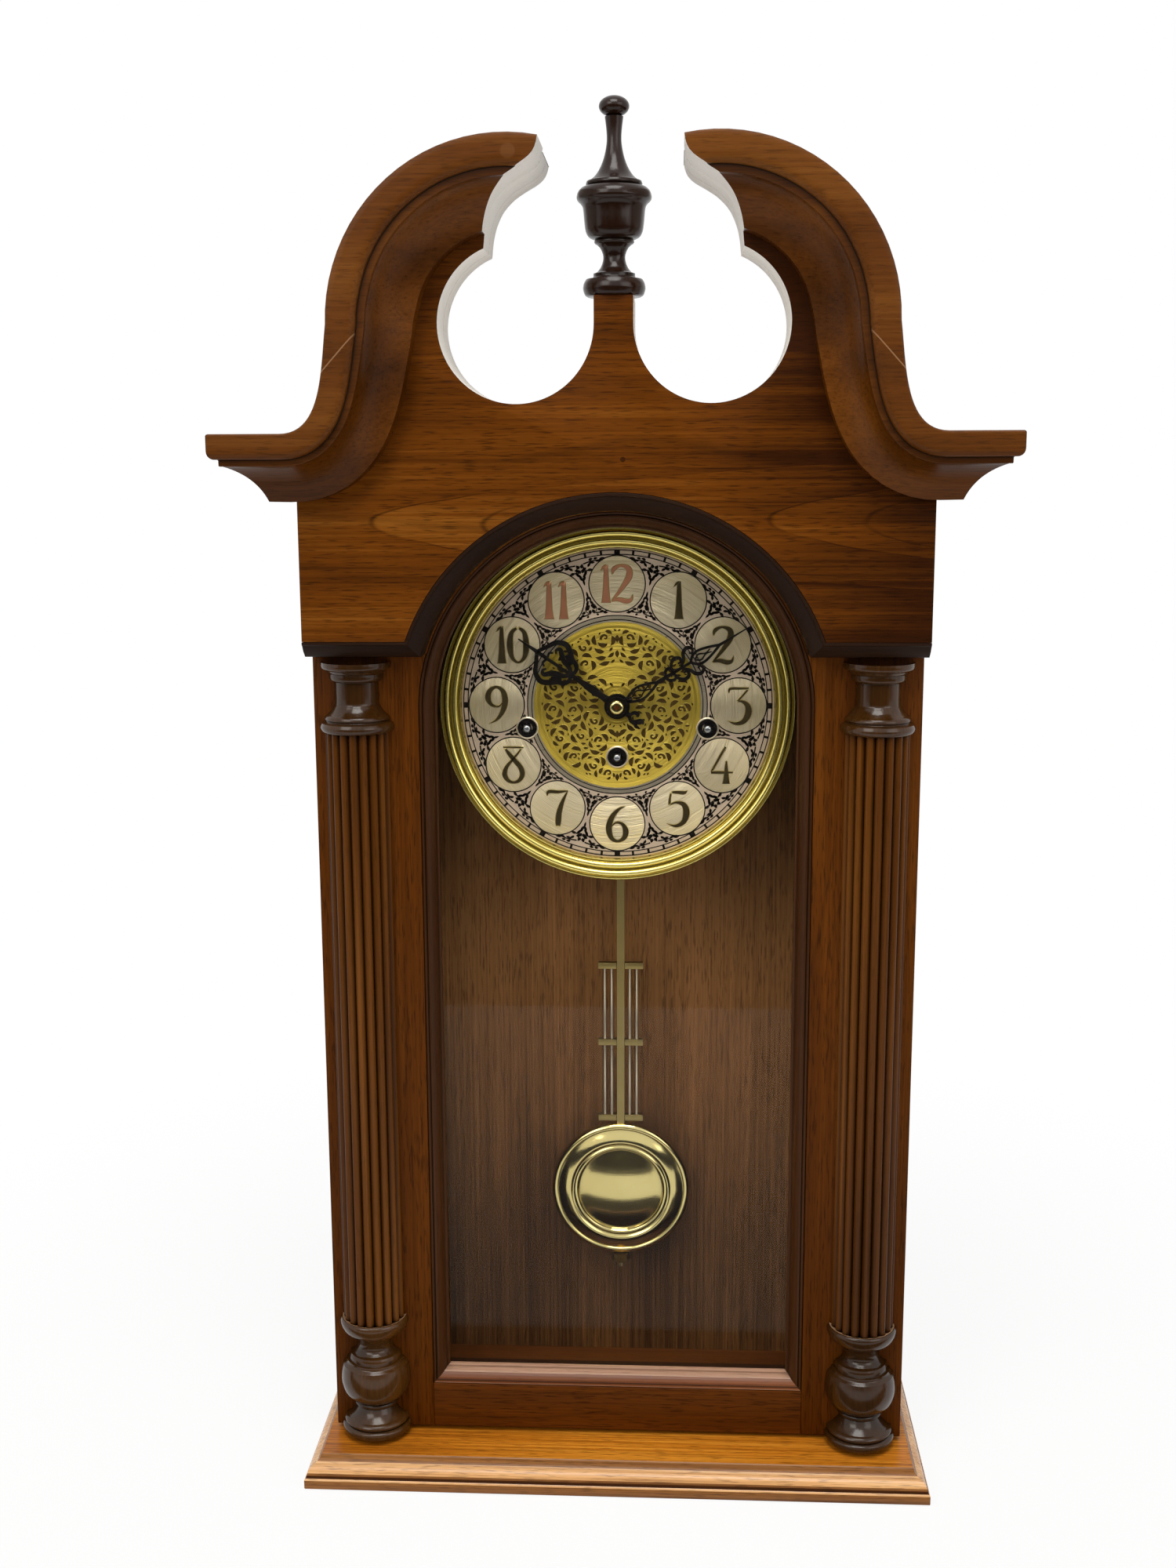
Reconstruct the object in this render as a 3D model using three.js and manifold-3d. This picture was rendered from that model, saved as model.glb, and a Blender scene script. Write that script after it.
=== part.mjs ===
import * as THREE from "three";
import { mergeVertices } from "three/addons/utils/BufferGeometryUtils.js";
import Module from "manifold-3d";

// A musical wall clock: a glazed full-front door with half columns and a swan-neck pediment closes
// a shallow case that holds a three-train movement, chime rods and a gridiron pendulum.
// Millimetres, X right, Y back, Z up. Y is 0 at the door's front face until the last lines,
// which move the origin to the middle of the footprint.

const wasm = await Module();
wasm.setup();

// Sides of round pieces: dial-sized ones, turnings and wheels, small pins and holes,
// then steps along an outline's curves and along a swan neck
const largeRound = 36;
const middleRound = 16;
const smallRound = 8;
const archSteps = 10;
const sweepSteps = 24;

// Fits: glued or resting pieces, turning pieces, and how far a cut runs past a face
const glueGap = 0.3;
const runningGap = 0.3;
const past = 1;

// Case
const caseHalf = 176;
const sideThick = 14;
const caseDepth = 94.5;
const backThick = 6;
const topThick = 12;
const topClearance = 3;

// Plinth
const plinthThick = 19;
const plinthOverhang = 14;
const plinthReach = 38;
const plinthFascia = 8;
const plinthOgee = 10;

// Door frame, with the arch's centre level and the hood's lower edge above it
const doorThick = 19;
const seamGap = 0.5;
const doorGap = 3;
const bottomRailHeight = 29;
const archZ = 476;
const hoodRise = 33.5;

// Glazing
const glassHalf = 105;
const beadWidth = 9.7;
const beadSlope = 8;
const beadDepth = 10;
const glassThick = 3;
const glassEdgeGap = 0.7;
const retainerWidth = 7;
const retainerDepth = 5.5;

// Pediment
const hoodReach = 27;
const hoodHeight = 123.5;
const trimWidth = 9;
const trimChamfer = 8;
const trimReveal = 1.3;
const boardInset = 2;

// Swan necks: the outer edge's big arc, its flare to the cornice, the eye and the ogee end
const swanRadius = 94.6;
const swanCentreX = 55;
const swanRise = 55.8;
const swanTopX = 37.5;
const swanFlare = 3.2;
const swanLift = 4;
const eyeX = 53.3;
const eyeRise = 2.8;
const eyeRadius = 42.6;
const neckRise = 14.6;
const cuspAngle = 67;
const ogeeUpperOut = 3;
const ogeeUpperShare = 0.65;
const ogeeLowerIn = 6.4;
const ogeeLowerShare = 0.51;

// Crown moulding section, measured down from its top edge and out from the pediment face
const crownHeight = 36;
const crownReach = 39;
const crownFascia = 13.4;
const crownRound = 4.4;
const crownRoundIn = 3;
const crownStep = 5.2;
const coveStart = 17;
const coveReach = 32;
const coveFootReach = 12.2;
const coveHollow = 3.1;
const coveSteps = 6;

// The swan neck deepens by this share between these two places along it
const crownSwell = 0.2;
const swellFrom = 0.1;
const swellTo = 0.5;

// Finial: radius and height above the pediment's neck, then the flattened ball
const finialY = -13.5;
const finialProfile = [
  [15.4, 0], [17, 4.6], [15.6, 9.4], [11.4, 10.4], [11.4, 12.2], [9.4, 12.8], [6.1, 19], [6.1, 22],
  [9.6, 27.6], [10.8, 28.2], [10.8, 30], [14.2, 31.6], [15.8, 36], [17, 46.5], [20.2, 51], [20.2, 53.2],
  [17, 57.2], [15.2, 58.6], [14.4, 60.6], [9.9, 63.8], [6.6, 69.8], [4.3, 78], [4.1, 85], [5, 93.2],
];
const finialBallRadius = 8.2;
const finialBallHalf = 5.5;
const finialBallRise = 98.7;
const finialBallFrom = -40;
const finialBallSteps = 6;

// Half columns: each profile is a radius beyond the shaft's and a height above the profile's foot
const columnInset = 25.5;
const columnRadius = 18.9;
const reedCount = 9;
const reedDepth = 2.2;
const reedSteps = 4;
const capitalGap = 4.5;
const capitalProfile = [
  [0, 0], [1.6, 1.2], [2.4, 3.5], [1.4, 6], [-0.6, 7], [-0.6, 10], [-4.1, 13.5], [-6, 17],
  [-6, 30], [-3.1, 32], [-2.4, 35.5], [-1, 36.5], [1.5, 39], [1.5, 41],
];
const baseProfile = [
  [2.6, 0], [2.6, 8], [0.1, 10], [-3.6, 15], [-6.4, 21], [-2.6, 24.5], [1.9, 29.5], [3.4, 37],
  [1.6, 44], [-2.6, 50], [-2.5, 55.5], [-7.4, 59], [-4.6, 65], [0.9, 71], [2.9, 73], [2.9, 75],
];

// Hinges and catch
const knuckleRadius = 2;
const knuckleSet = 0.7;
const pinRadius = 0.9;
const pinGap = 0.25;
const knuckleLength = 16;
const knuckleGap = 0.4;
const leafThick = 1;
const leafSet = 0.1;
const leafWidth = 12;
const upperHingeDrop = 36;
const lowerHingeZ = 95;
const catchZ = 300;
const catchHeight = 34;
const catchDepth = 13;
const strikeThick = 1;
const strikeMarginX = 1;
const strikeMarginZ = 4;

// Wall hanger
const windowHalf = 23;
const windowHeight = 21;
const windowDrop = 14;
const hangerBorder = 6;
const hangerThick = 2;
const keyholeRadius = 5;
const keyholeRise = 6;
const keySlotHalf = 2.6;

// Dial: the bezel's profile is an inset from its rim and a depth behind its front
const bezelRadius = 105.4;
const bezelWidth = 12.8;
const bezelSet = 1.5;
const bezelProfile = [[0, 2], [1.5, 0], [3.2, 1], [6.2, 0.6], [9.6, 2.2], [11.4, 3.2]];
const dialSet = 6;
const dialLap = 4.4;
const chapterThick = 1;
const dialPlateThick = 1.2;
const centreRadius = 50;
const centreRise = 0.4;
const windingHole = 4.2;
const pipeHole = 4.2;
const footRadius = 2.5;
const footX = 62;
const footUp = 40;
const footDown = 50;
const footLength = 8.8;

// Hands: pierced blades with pairs of loops along them
const handThick = 1.2;
const hourHandLift = 5.4;
const handSpacing = 3;
const bladeRoot = 1.6;
const bladeRootShare = 0.3;
const bladeNeck = 1.1;
const bladeTip = 0.35;
const bladeSpine = 0.8;
const tailHalf = 1.4;
const loopRim = 1.5;
const minuteHandSizes = {
  reach: 91,
  hub: 6,
  tail: 7,
  angle: 58.5,
  loops: [
    { at: 18, width: 3.4, offset: 1.2 },
    { at: 44, width: 4.6, offset: 3.2 },
    { at: 60, width: 3.4, offset: 1.2 },
  ],
};
const hourHandSizes = {
  reach: 70,
  hub: 7,
  tail: 17,
  angle: 304.5,
  loops: [{ at: 39, width: 7.5, offset: 5.4 }],
};
const nutRadius = 4.2;
const nutTopRadius = 2.94;
const nutThick = 1.9;
const nutBand = 1;

// Motion work
const cannonRadius = 2.2;
const pipeRadius = 3.4;
const pipeLip = 0.2;
const minuteModule = 0.6;
const cannonTeeth = 12;
const minuteTeeth = 36;
const minutePinionTeeth = 10;
const hourTeeth = 40;
const toothClear = 0.2;
const toothDepth = 0.8;
const motionWheelThick = 1.3;
const hourWheelSet = 3.6;
const studRadius = 1.2;
const wheelLap = 0.5;

// Movement frame
const plateHalf = 80;
const plateUp = 50;
const plateDown = 62;
const plateThick = 2;
const plateSpan = 26;
const pillarRadius = 3.5;
const pillarInset = 6;
const bracketX = 70;
const bracketThick = 2;
const bracketUp = 30;
const bracketDown = 40;
const bracketFlange = 11;
const strapUp = 10;
const strapDown = 20;

// Winding and barrels
const sideArborX = 53.6;
const sideArborDown = 13.7;
const timeArborDown = 31;
const arborRadius = 2.6;
const arborSquare = 4.4;
const arborProud = 3.6;
const ratchetRadius = 9;
const ratchetTeeth = 20;
const ratchetDepth = 1;
const ratchetThick = 1.5;
const ratchetSet = 0.8;
const barrelRadius = 23;
const barrelLength = 16;
const barrelSet = 1.5;
const greatWheelThick = 2;
const greatTeeth = 36;
const greatDepth = 1.2;
const greatWheelApart = 2.2;

// Going train and escapement
const centreArborRadius = 1.6;
const centrePinionRadius = 2.5;
const centrePinionLeaves = 8;
const centrePinionDepth = 0.7;
const pinionClear = 0.4;
const centreWheelRadius = 18;
const centreWheelDepth = 1;
const centreWheelThick = 1.2;
const centreWheelSet = 1.2;
const arborEndGap = 0.5;
const escapeUp = 22;
const escapeRadius = 12;
const escapeTeeth = 30;
const escapeDepth = 1.6;
const escapeThick = 1.5;
const escapeSet = 10;
const escapeArborRadius = 0.9;
const anchorRise = 8;
const palletPast = 3;
const palletWide = 0.5;
const anchorArborRadius = 1.2;
const anchorHalf = 3;
const anchorWaist = 2;
const crutchSet = 8;
const crutchThick = 2;
const crutchHalf = 1.5;
const forkDrop = 48;
const forkHalfHeight = 2;
const forkWall = 2.2;
const forkFloor = 1.5;

// Suspension cock
const cockHalf = 7;
const cockThick = 6;
const cockRise = 4;
const chopHalf = 4;
const chopGap = 1;

// Pendulum: the bob's profile is an inset from its rim and a depth behind its front
const pendulumSet = 20;
const rodWidth = 4.8;
const rodThick = 2.4;
const rodSeat = 4;
const threadRadius = 1.2;
const threadPast = 5;
const springThick = 0.6;
const springWidth = 8;
const springDrop = 9;
const bobZ = 145;
const bobRadius = 45.5;
const bobThick = 14;
const bobProfile = [[17.7, 2], [15.5, 1.2], [13.6, 2], [4.5, 4], [0, 5.5]];
const bobBackEdge = 5;
const bobBackInset = 9.1;
const gridBarCount = 3;
const gridBarPitch = 51.75;
const gridBarRise = 4;
const gridBarHalf = 14.5;
const gridBarHeight = 4;
const gridBarThick = 4;
const wireInnerX = 5.9;
const wireOuterX = 10.4;
const wireRadius = 0.9;
const wireSeat = 1;
const ratingNutRadius = 6;
const ratingNutHeight = 5;

// Chime work
const rodSpots = [-32, -20, 20, 32];
const chimeRodRadius = 1.8;
const chimeRodDrop = 91;
const chimeRodStep = 7;
const chimeRodSet = 8;
const chimeBlockHalf = 40;
const chimeBlockUp = 62;
const chimeBlockHeight = 14;
const chimeBlockLip = 4;
const hammerUp = 56;
const hammerDrop = 26;
const hammerRadius = 4;
const hammerLength = 12.4;
const hammerGap = 0.8;
const hammerHubRadius = 3.4;
const hammerHubHalf = 2;
const hammerArmHalf = 1.2;
const hammerArmThick = 2;
const hammerRailRadius = 1.5;
const hammerRailHalf = 42;
const railLugThick = 4;
const railLugMargin = 4;
const railLugSeat = 10;

// Levels that follow from the sizes above
const seam = doorThick + seamGap;
const backY = seam + caseDepth;
const panelFront = backY - backThick;
const hoodBottom = archZ + hoodRise;
const crownTop = hoodBottom + hoodHeight;
const crownBottom = crownTop - crownHeight;
const caseTop = crownBottom - topClearance;
const swanCentreZ = crownTop + swanRise;
const eyeZ = swanCentreZ + eyeRise;
const neckTop = eyeZ + neckRise;
const openingHalf = glassHalf + beadWidth;
const doorBottom = plinthThick + doorGap;
const railTop = doorBottom + bottomRailHeight;
const trimInnerRadius = openingHalf + trimReveal;
const trimOuterRadius = trimInnerRadius + trimWidth;
const crownFront = -hoodReach - crownReach;
const plinthHalf = caseHalf + plinthOverhang;
const bezelFront = seam + bezelSet;
const bezelInner = bezelRadius - bezelWidth;
const dialFront = bezelFront + dialSet;
const dialPlateRadius = bezelInner + dialLap;
const chapterBack = dialFront + chapterThick;
const dialBack = chapterBack + dialPlateThick;
const hourHandY = dialFront - hourHandLift;
const minuteHandY = hourHandY - handSpacing;
const frontPlateY = dialBack + footLength;
const frontPlateRear = frontPlateY + plateThick;
const backPlateY = frontPlateRear + plateSpan;
const backPlateRear = backPlateY + plateThick;
const plateLow = archZ - plateDown;
const plateHigh = archZ + plateUp;
const escapeZ = archZ + escapeUp;
const swingZ = escapeZ + escapeRadius + anchorRise;
const pendulumY = backPlateRear + pendulumSet;
const bobTop = bobZ + bobRadius;
const bobBottom = bobZ - bobRadius;
const gridLow = bobTop + gridBarRise;
const hingeX = caseHalf + knuckleSet;
const hingeY = doorThick + seamGap / 2;
const hingeLength = 3 * knuckleLength;
const hingeSpots = [["upper", archZ - upperHingeDrop], ["lower", lowerHingeZ]];
const swingRoom = knuckleRadius + knuckleGap;
const chimeRodY = panelFront - chimeRodSet;

// Finishes
function finish(color, roughness, metalness) {
  return new THREE.MeshStandardMaterial({ color, roughness, metalness });
}
const cherry = finish(0x6b3a1e, 0.4, 0);
const darkTurning = finish(0x3a2416, 0.35, 0);
const backWood = finish(0x5a3a22, 0.6, 0);
const gold = finish(0xd4b13c, 0.2, 1);
const brass = finish(0xb08d3c, 0.35, 1);
const silver = finish(0xb9ad98, 0.4, 0.6);
const steel = finish(0x9a9a98, 0.3, 1);
const black = finish(0x121010, 0.4, 0.3);
const glassClear = finish(0xdfe8e6, 0.05, 0);
glassClear.transparent = true;
glassClear.opacity = 0.25;

// Joining and cutting
function solidOf(geometry) {
  const bare = geometry.index ? geometry.toNonIndexed() : geometry.clone();
  bare.deleteAttribute("normal");
  bare.deleteAttribute("uv");
  const merged = mergeVertices(bare, 1e-4);
  const vertProperties = merged.attributes.position.array;
  const triVerts = new Uint32Array(merged.index.array);
  return new wasm.Manifold(new wasm.Mesh({ numProp: 3, vertProperties, triVerts }));
}

function geometryOf(manifold) {
  const { vertProperties, triVerts } = manifold.getMesh();
  return new THREE.BufferGeometry()
    .setAttribute("position", new THREE.BufferAttribute(vertProperties, 3))
    .setIndex(new THREE.BufferAttribute(triVerts, 1));
}

function cut(body, ...tools) {
  return geometryOf(tools.reduce((left, tool) => left.subtract(solidOf(tool)), solidOf(body)));
}

function join(body, ...more) {
  return geometryOf(more.reduce((sum, piece) => sum.add(solidOf(piece)), solidOf(body)));
}

function common(body, other) {
  return geometryOf(solidOf(body).intersect(solidOf(other)));
}

// Basic forms
function block(x0, x1, y0, y1, z0, z1) {
  const box = new THREE.BoxGeometry(x1 - x0, y1 - y0, z1 - z0);
  return box.translate((x0 + x1) / 2, (y0 + y1) / 2, (z0 + z1) / 2);
}

function outline(points) {
  return new THREE.Shape(points.map(([a, b]) => new THREE.Vector2(a, b)));
}

// Where an arc starts on the last point drawn, the outline keeps that point once.
function distinct(path, divisions) {
  const points = path.getPoints(divisions);
  return points.filter((point, i) => point.distanceTo(points.at(i - 1)) > 1e-4);
}

function extruded(shape, depth, divisions) {
  const bare = new THREE.Shape(distinct(shape, divisions));
  bare.holes = shape.holes.map((hole) => new THREE.Path(distinct(hole, divisions)));
  return new THREE.ExtrudeGeometry(bare, { depth, bevelEnabled: false });
}

// A flat piece seen from the front: the shape's x and y are X and Z.
function plate(shape, y0, y1, divisions = middleRound) {
  return extruded(shape, y1 - y0, divisions).rotateX(Math.PI / 2).translate(0, y1, 0);
}

// A length of moulding that runs along X: the shape's x and y are Y and Z.
function beam(shape, x0, x1) {
  const length = extruded(shape, x1 - x0, smallRound);
  return length.rotateX(Math.PI / 2).rotateZ(Math.PI / 2).translate(x0, 0, 0);
}

// An upright piece with a plan section: the shape's x and y are X and Y.
function post(shape, z0, z1) {
  return extruded(shape, z1 - z0, smallRound).translate(0, 0, z0);
}

function lathe(profile, segments) {
  const points = profile.map(([r, h]) => new THREE.Vector2(r, h));
  if (THREE.ShapeUtils.area(points) < 0) points.reverse();
  return new THREE.LatheGeometry(points, segments);
}

// Turned work about an upright axis, with a profile of radius and Z.
function turned(profile, x, y, segments = middleRound) {
  return lathe(profile, segments).rotateX(Math.PI / 2).translate(x, y, 0);
}

// Turned work about an axis that runs front to back, with a profile of radius and Y.
function spun(profile, x, z, segments = middleRound) {
  return lathe(profile, segments).translate(x, 0, z);
}

function disc(radius, y0, y1, x, z, segments = smallRound) {
  return spun([[0, y0], [radius, y0], [radius, y1], [0, y1]], x, z, segments);
}

function washer(inner, outer, y0, y1, x, z, segments = smallRound) {
  const profile = [[inner, y0], [outer, y0], [outer, y1], [inner, y1], [inner, y0]];
  return spun(profile, x, z, segments);
}

function rodAlongX(radius, x0, x1, y, z) {
  const rod = new THREE.CylinderGeometry(radius, radius, x1 - x0, smallRound).rotateZ(Math.PI / 2);
  return rod.translate((x0 + x1) / 2, y, z);
}

function rodUpright(radius, x, y, z0, z1, segments = smallRound) {
  const rod = new THREE.CylinderGeometry(radius, radius, z1 - z0, segments).rotateX(Math.PI / 2);
  return rod.translate(x, y, (z0 + z1) / 2);
}

// A wheel with pointed teeth, seen from the front
function gear(teeth, tip, depth, y0, y1, x, z) {
  const points = [];
  const halfPitch = Math.PI / teeth;
  for (let i = 0; i < 2 * teeth; i++) {
    const radius = i % 2 ? tip : tip - depth;
    points.push([radius * Math.cos(i * halfPitch), radius * Math.sin(i * halfPitch)]);
  }
  return plate(outline(points), y0, y1).translate(x, 0, z);
}

// The assembly
const clock = new THREE.Group();

function add(name, geometry, material) {
  const mesh = new THREE.Mesh(geometry, material);
  mesh.name = name;
  clock.add(mesh);
  return mesh;
}

function addPair(leftName, rightName, geometry, material) {
  add(leftName, geometry, material);
  add(rightName, geometry, material).scale.x = -1;
}

// Plinth: the ogee runs along the front and both sides and mitres at the corners.
function plinth() {
  const ogeeMid = (plinthFascia + plinthThick) / 2;
  const front = new THREE.Shape();
  front.moveTo(-plinthReach, 0);
  front.lineTo(backY, 0);
  front.lineTo(backY, plinthThick);
  front.lineTo(-plinthReach + plinthOgee, plinthThick);
  front.bezierCurveTo(
    -plinthReach + plinthOgee, ogeeMid,
    -plinthReach, ogeeMid,
    -plinthReach, plinthFascia,
  );
  const sides = new THREE.Shape();
  sides.moveTo(-plinthHalf, 0);
  sides.lineTo(plinthHalf, 0);
  sides.lineTo(plinthHalf, plinthFascia);
  sides.bezierCurveTo(
    plinthHalf, ogeeMid,
    plinthHalf - plinthOgee, ogeeMid,
    plinthHalf - plinthOgee, plinthThick,
  );
  sides.lineTo(-plinthHalf + plinthOgee, plinthThick);
  sides.bezierCurveTo(
    -plinthHalf + plinthOgee, ogeeMid,
    -plinthHalf, ogeeMid,
    -plinthHalf, plinthFascia,
  );
  return common(beam(front, -plinthHalf, plinthHalf), plate(sides, -plinthReach, backY, smallRound));
}
add("base_plinth", plinth(), cherry);

// Recesses for the hinges, drawn on the left because the right-hand boards are mirrored.
function hingeSeats(y0, y1) {
  const outside = -caseHalf - past;
  const seats = [];
  for (const [, z] of hingeSpots) {
    const low = z - glueGap;
    const high = z + hingeLength + glueGap;
    const leafRoom = [leafWidth + glueGap, leafSet + leafThick + glueGap];
    for (const [wide, deep] of [leafRoom, [swingRoom, swingRoom]]) {
      const front = Math.max(y0, hingeY - deep);
      const back = Math.min(y1, hingeY + deep);
      seats.push(block(outside, wide - hingeX, front, back, low, high));
    }
  }
  return seats;
}

// Case box
const sideTop = caseTop - topThick;
const sidePanel = block(-caseHalf, -caseHalf + sideThick, seam, panelFront, plinthThick, sideTop);
add("left_side_panel", sidePanel, cherry);
add("right_side_panel", cut(sidePanel, ...hingeSeats(seam - past, panelFront)), cherry).scale.x = -1;
add("top_panel", block(-caseHalf, caseHalf, seam, panelFront, sideTop, caseTop), cherry);
const windowHigh = caseTop - windowDrop;
const windowLow = windowHigh - windowHeight;
const backBoard = block(-caseHalf, caseHalf, panelFront, backY, plinthThick, caseTop);
const backWindow = block(-windowHalf, windowHalf, panelFront - past, backY + past, windowLow, windowHigh);
add("back_panel", cut(backBoard, backWindow), backWood);

// Wall hanger: a steel plate inside the back panel with a keyhole over the window.
function hanger() {
  const half = windowHalf + hangerBorder;
  const low = windowLow - hangerBorder;
  const sheet = block(-half, half, panelFront - hangerThick, panelFront, low, windowHigh);
  const holeZ = windowLow + keyholeRise;
  const rear = panelFront + past;
  const front = panelFront - hangerThick - past;
  const eye = disc(keyholeRadius, front, rear, 0, holeZ);
  const slot = block(-keySlotHalf, keySlotHalf, front, rear, holeZ, windowHigh - keySlotHalf);
  return cut(sheet, eye, slot);
}
add("hanger_plate", hanger(), steel);

// Door stiles follow the arch above its springing.
function stile() {
  const shape = new THREE.Shape();
  shape.moveTo(-caseHalf, doorBottom);
  shape.lineTo(-openingHalf, doorBottom);
  shape.lineTo(-openingHalf, archZ);
  const rise = Math.asin(hoodRise / openingHalf);
  shape.absarc(0, archZ, openingHalf, Math.PI, Math.PI - rise, true);
  shape.lineTo(-caseHalf, hoodBottom);
  return plate(shape, 0, doorThick, smallRound);
}
add("left_stile", stile(), cherry);
add("right_stile", cut(stile(), ...hingeSeats(0, doorThick + past)), cherry).scale.x = -1;
add("bottom_rail", block(-openingHalf, openingHalf, 0, doorThick, doorBottom, railTop), cherry);

// The swan neck's outer edge on one side, from the tip of the cornice up to the scroll's end.
function swanPath(path, side, inset) {
  const radius = swanRadius - inset;
  const top = crownTop - inset;
  const start = Math.acos((swanTopX - swanCentreX) / radius);
  const waist = swanCentreX + radius;
  path.lineTo(side * (caseHalf - inset), top);
  path.bezierCurveTo(
    side * (waist + swanFlare), top,
    side * (waist + swanFlare), (top + swanCentreZ) / 2 + swanLift,
    side * waist, swanCentreZ,
  );
  if (side < 0) path.absarc(-swanCentreX, swanCentreZ, radius, Math.PI, Math.PI - start, true);
  else path.absarc(swanCentreX, swanCentreZ, radius, 0, start, false);
}

// The scroll's ogee end, from the scroll's top down to the cusp over the round eye.
const cusp = THREE.MathUtils.degToRad(cuspAngle);
const cuspX = eyeX + eyeRadius * Math.cos(cusp);
const cuspZ = eyeZ + eyeRadius * Math.sin(cusp);

function scrollTop(radius) {
  return swanCentreZ + Math.sqrt(radius ** 2 - (swanCentreX - swanTopX) ** 2);
}
const scrollRise = scrollTop(swanRadius) - cuspZ;
const ogeeUpper = [swanTopX - ogeeUpperOut, cuspZ + ogeeUpperShare * scrollRise];
const ogeeLower = [cuspX - ogeeLowerIn, cuspZ + ogeeLowerShare * scrollRise];

// The pediment's outline, open round the arch and the two eyes.
function pedimentShape(archRadius, bottom) {
  const shape = new THREE.Shape();
  const spring = Math.asin((bottom - archZ) / archRadius);
  const neckHalf = eyeX - eyeRadius;
  shape.moveTo(-caseHalf, bottom);
  shape.lineTo(-archRadius * Math.cos(spring), bottom);
  shape.absarc(0, archZ, archRadius, Math.PI - spring, spring, true);
  shape.lineTo(caseHalf, bottom);
  shape.lineTo(caseHalf, crownTop - boardInset);
  swanPath(shape, 1, boardInset);
  shape.bezierCurveTo(...ogeeUpper, ...ogeeLower, cuspX, cuspZ);
  shape.absarc(eyeX, eyeZ, eyeRadius, cusp, -Math.PI, true);
  shape.lineTo(neckHalf, neckTop);
  shape.lineTo(-neckHalf, neckTop);
  shape.lineTo(-neckHalf, eyeZ);
  shape.absarc(-eyeX, eyeZ, eyeRadius, 0, -Math.PI - cusp, true);
  const edgeZ = scrollTop(swanRadius - boardInset);
  shape.bezierCurveTo(-ogeeLower[0], ogeeLower[1], -ogeeUpper[0], ogeeUpper[1], -swanTopX, edgeZ);
  const left = new THREE.Path();
  left.moveTo(-caseHalf, crownTop - boardInset);
  swanPath(left, -1, boardInset);
  const climb = left.getPoints(archSteps).reverse();
  for (const point of climb) shape.lineTo(point.x, point.y);
  return shape;
}
const backing = pedimentShape(openingHalf, hoodBottom);
add("pediment_backing", plate(backing, 0, doorThick, archSteps), cherry);
const face = pedimentShape(trimOuterRadius + glueGap, hoodBottom + trimWidth + glueGap);
add("pediment_board", plate(face, -hoodReach, 0, archSteps), cherry);

// Hood edge trim: a chamfered strip along the hood's lower edge and round the arch.
function hoodTrim() {
  const chamferY = -hoodReach + trimChamfer;
  const inner = trimInnerRadius;
  const outer = trimOuterRadius;
  const front = -hoodReach - past;
  const profile = [[outer, -hoodReach], [outer, 0], [inner, 0], [inner, chamferY], [outer, -hoodReach]];
  const ring = spun(profile, 0, archZ, largeRound);
  const top = hoodBottom + trimWidth;
  const section = outline([[chamferY, hoodBottom], [0, hoodBottom], [0, top], [-hoodReach, top]]);
  const strip = beam(section, -caseHalf, caseHalf);
  const below = block(-caseHalf, caseHalf, front, past, archZ - outer - past, hoodBottom);
  const gap = disc(outer - trimWidth / 2, front, past, 0, archZ, largeRound);
  const mouth = [[0, front], [outer, front], [outer, -hoodReach], [inner, chamferY]];
  const hollow = spun([...mouth, [inner, past], [0, past]], 0, archZ, largeRound);
  return cut(join(cut(ring, below), cut(strip, gap)), hollow);
}
add("hood_edge_trim", hoodTrim(), darkTurning);

// Crown moulding section as drop from the top edge and reach from the pediment face.
function crownSection() {
  const stepReach = crownReach - crownStep;
  const points = [[0, 0], [0, crownReach], [crownFascia - crownRound, crownReach]];
  points.push([crownFascia - crownRound / 4, crownReach - crownRoundIn / 3]);
  points.push([crownFascia, crownReach - crownRoundIn], [crownFascia, stepReach], [coveStart, stepReach]);
  const fall = crownHeight - coveStart;
  const back = coveReach - coveFootReach;
  const chord = Math.hypot(fall, back);
  for (let i = 0; i <= coveSteps; i++) {
    const t = i / coveSteps;
    const hollow = (4 * coveHollow * t * (1 - t)) / chord;
    points.push([coveStart + fall * t - back * hollow, coveReach - back * t - fall * hollow]);
  }
  points.push([crownHeight, 0]);
  return points;
}

// A moulding swept along a path in the front plane. It swells from its plain section to a deeper one.
function swept(section, path, steps, swell) {
  const positions = [];
  const index = [];
  const count = section.length;
  for (let i = 0; i <= steps; i++) {
    const t = i / steps;
    const point = path.getPointAt(t);
    const along = path.getTangentAt(t);
    const wide = 1 + swell * THREE.MathUtils.smoothstep(t, swellFrom, swellTo);
    for (const [drop, reach] of section) {
      const depth = drop * wide;
      positions.push(point.x + along.y * depth, -hoodReach - reach, point.y - along.x * depth);
    }
  }
  for (let i = 0; i < steps; i++) {
    for (let j = 0; j < count; j++) {
      const a = i * count + j;
      const b = i * count + ((j + 1) % count);
      index.push(a, b, a + count, b, b + count, a + count);
    }
  }
  const rim = section.map(([drop, reach]) => new THREE.Vector2(drop, reach));
  const last = steps * count;
  for (const [a, b, c] of THREE.ShapeUtils.triangulateShape(rim, [])) {
    index.push(a, b, c, last + a, last + c, last + b);
  }
  const geometry = new THREE.BufferGeometry();
  geometry.setAttribute("position", new THREE.Float32BufferAttribute(positions, 3));
  geometry.setIndex(index);
  if (solidOf(geometry).volume() < 0) index.reverse();
  return geometry.setIndex(index);
}

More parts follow.
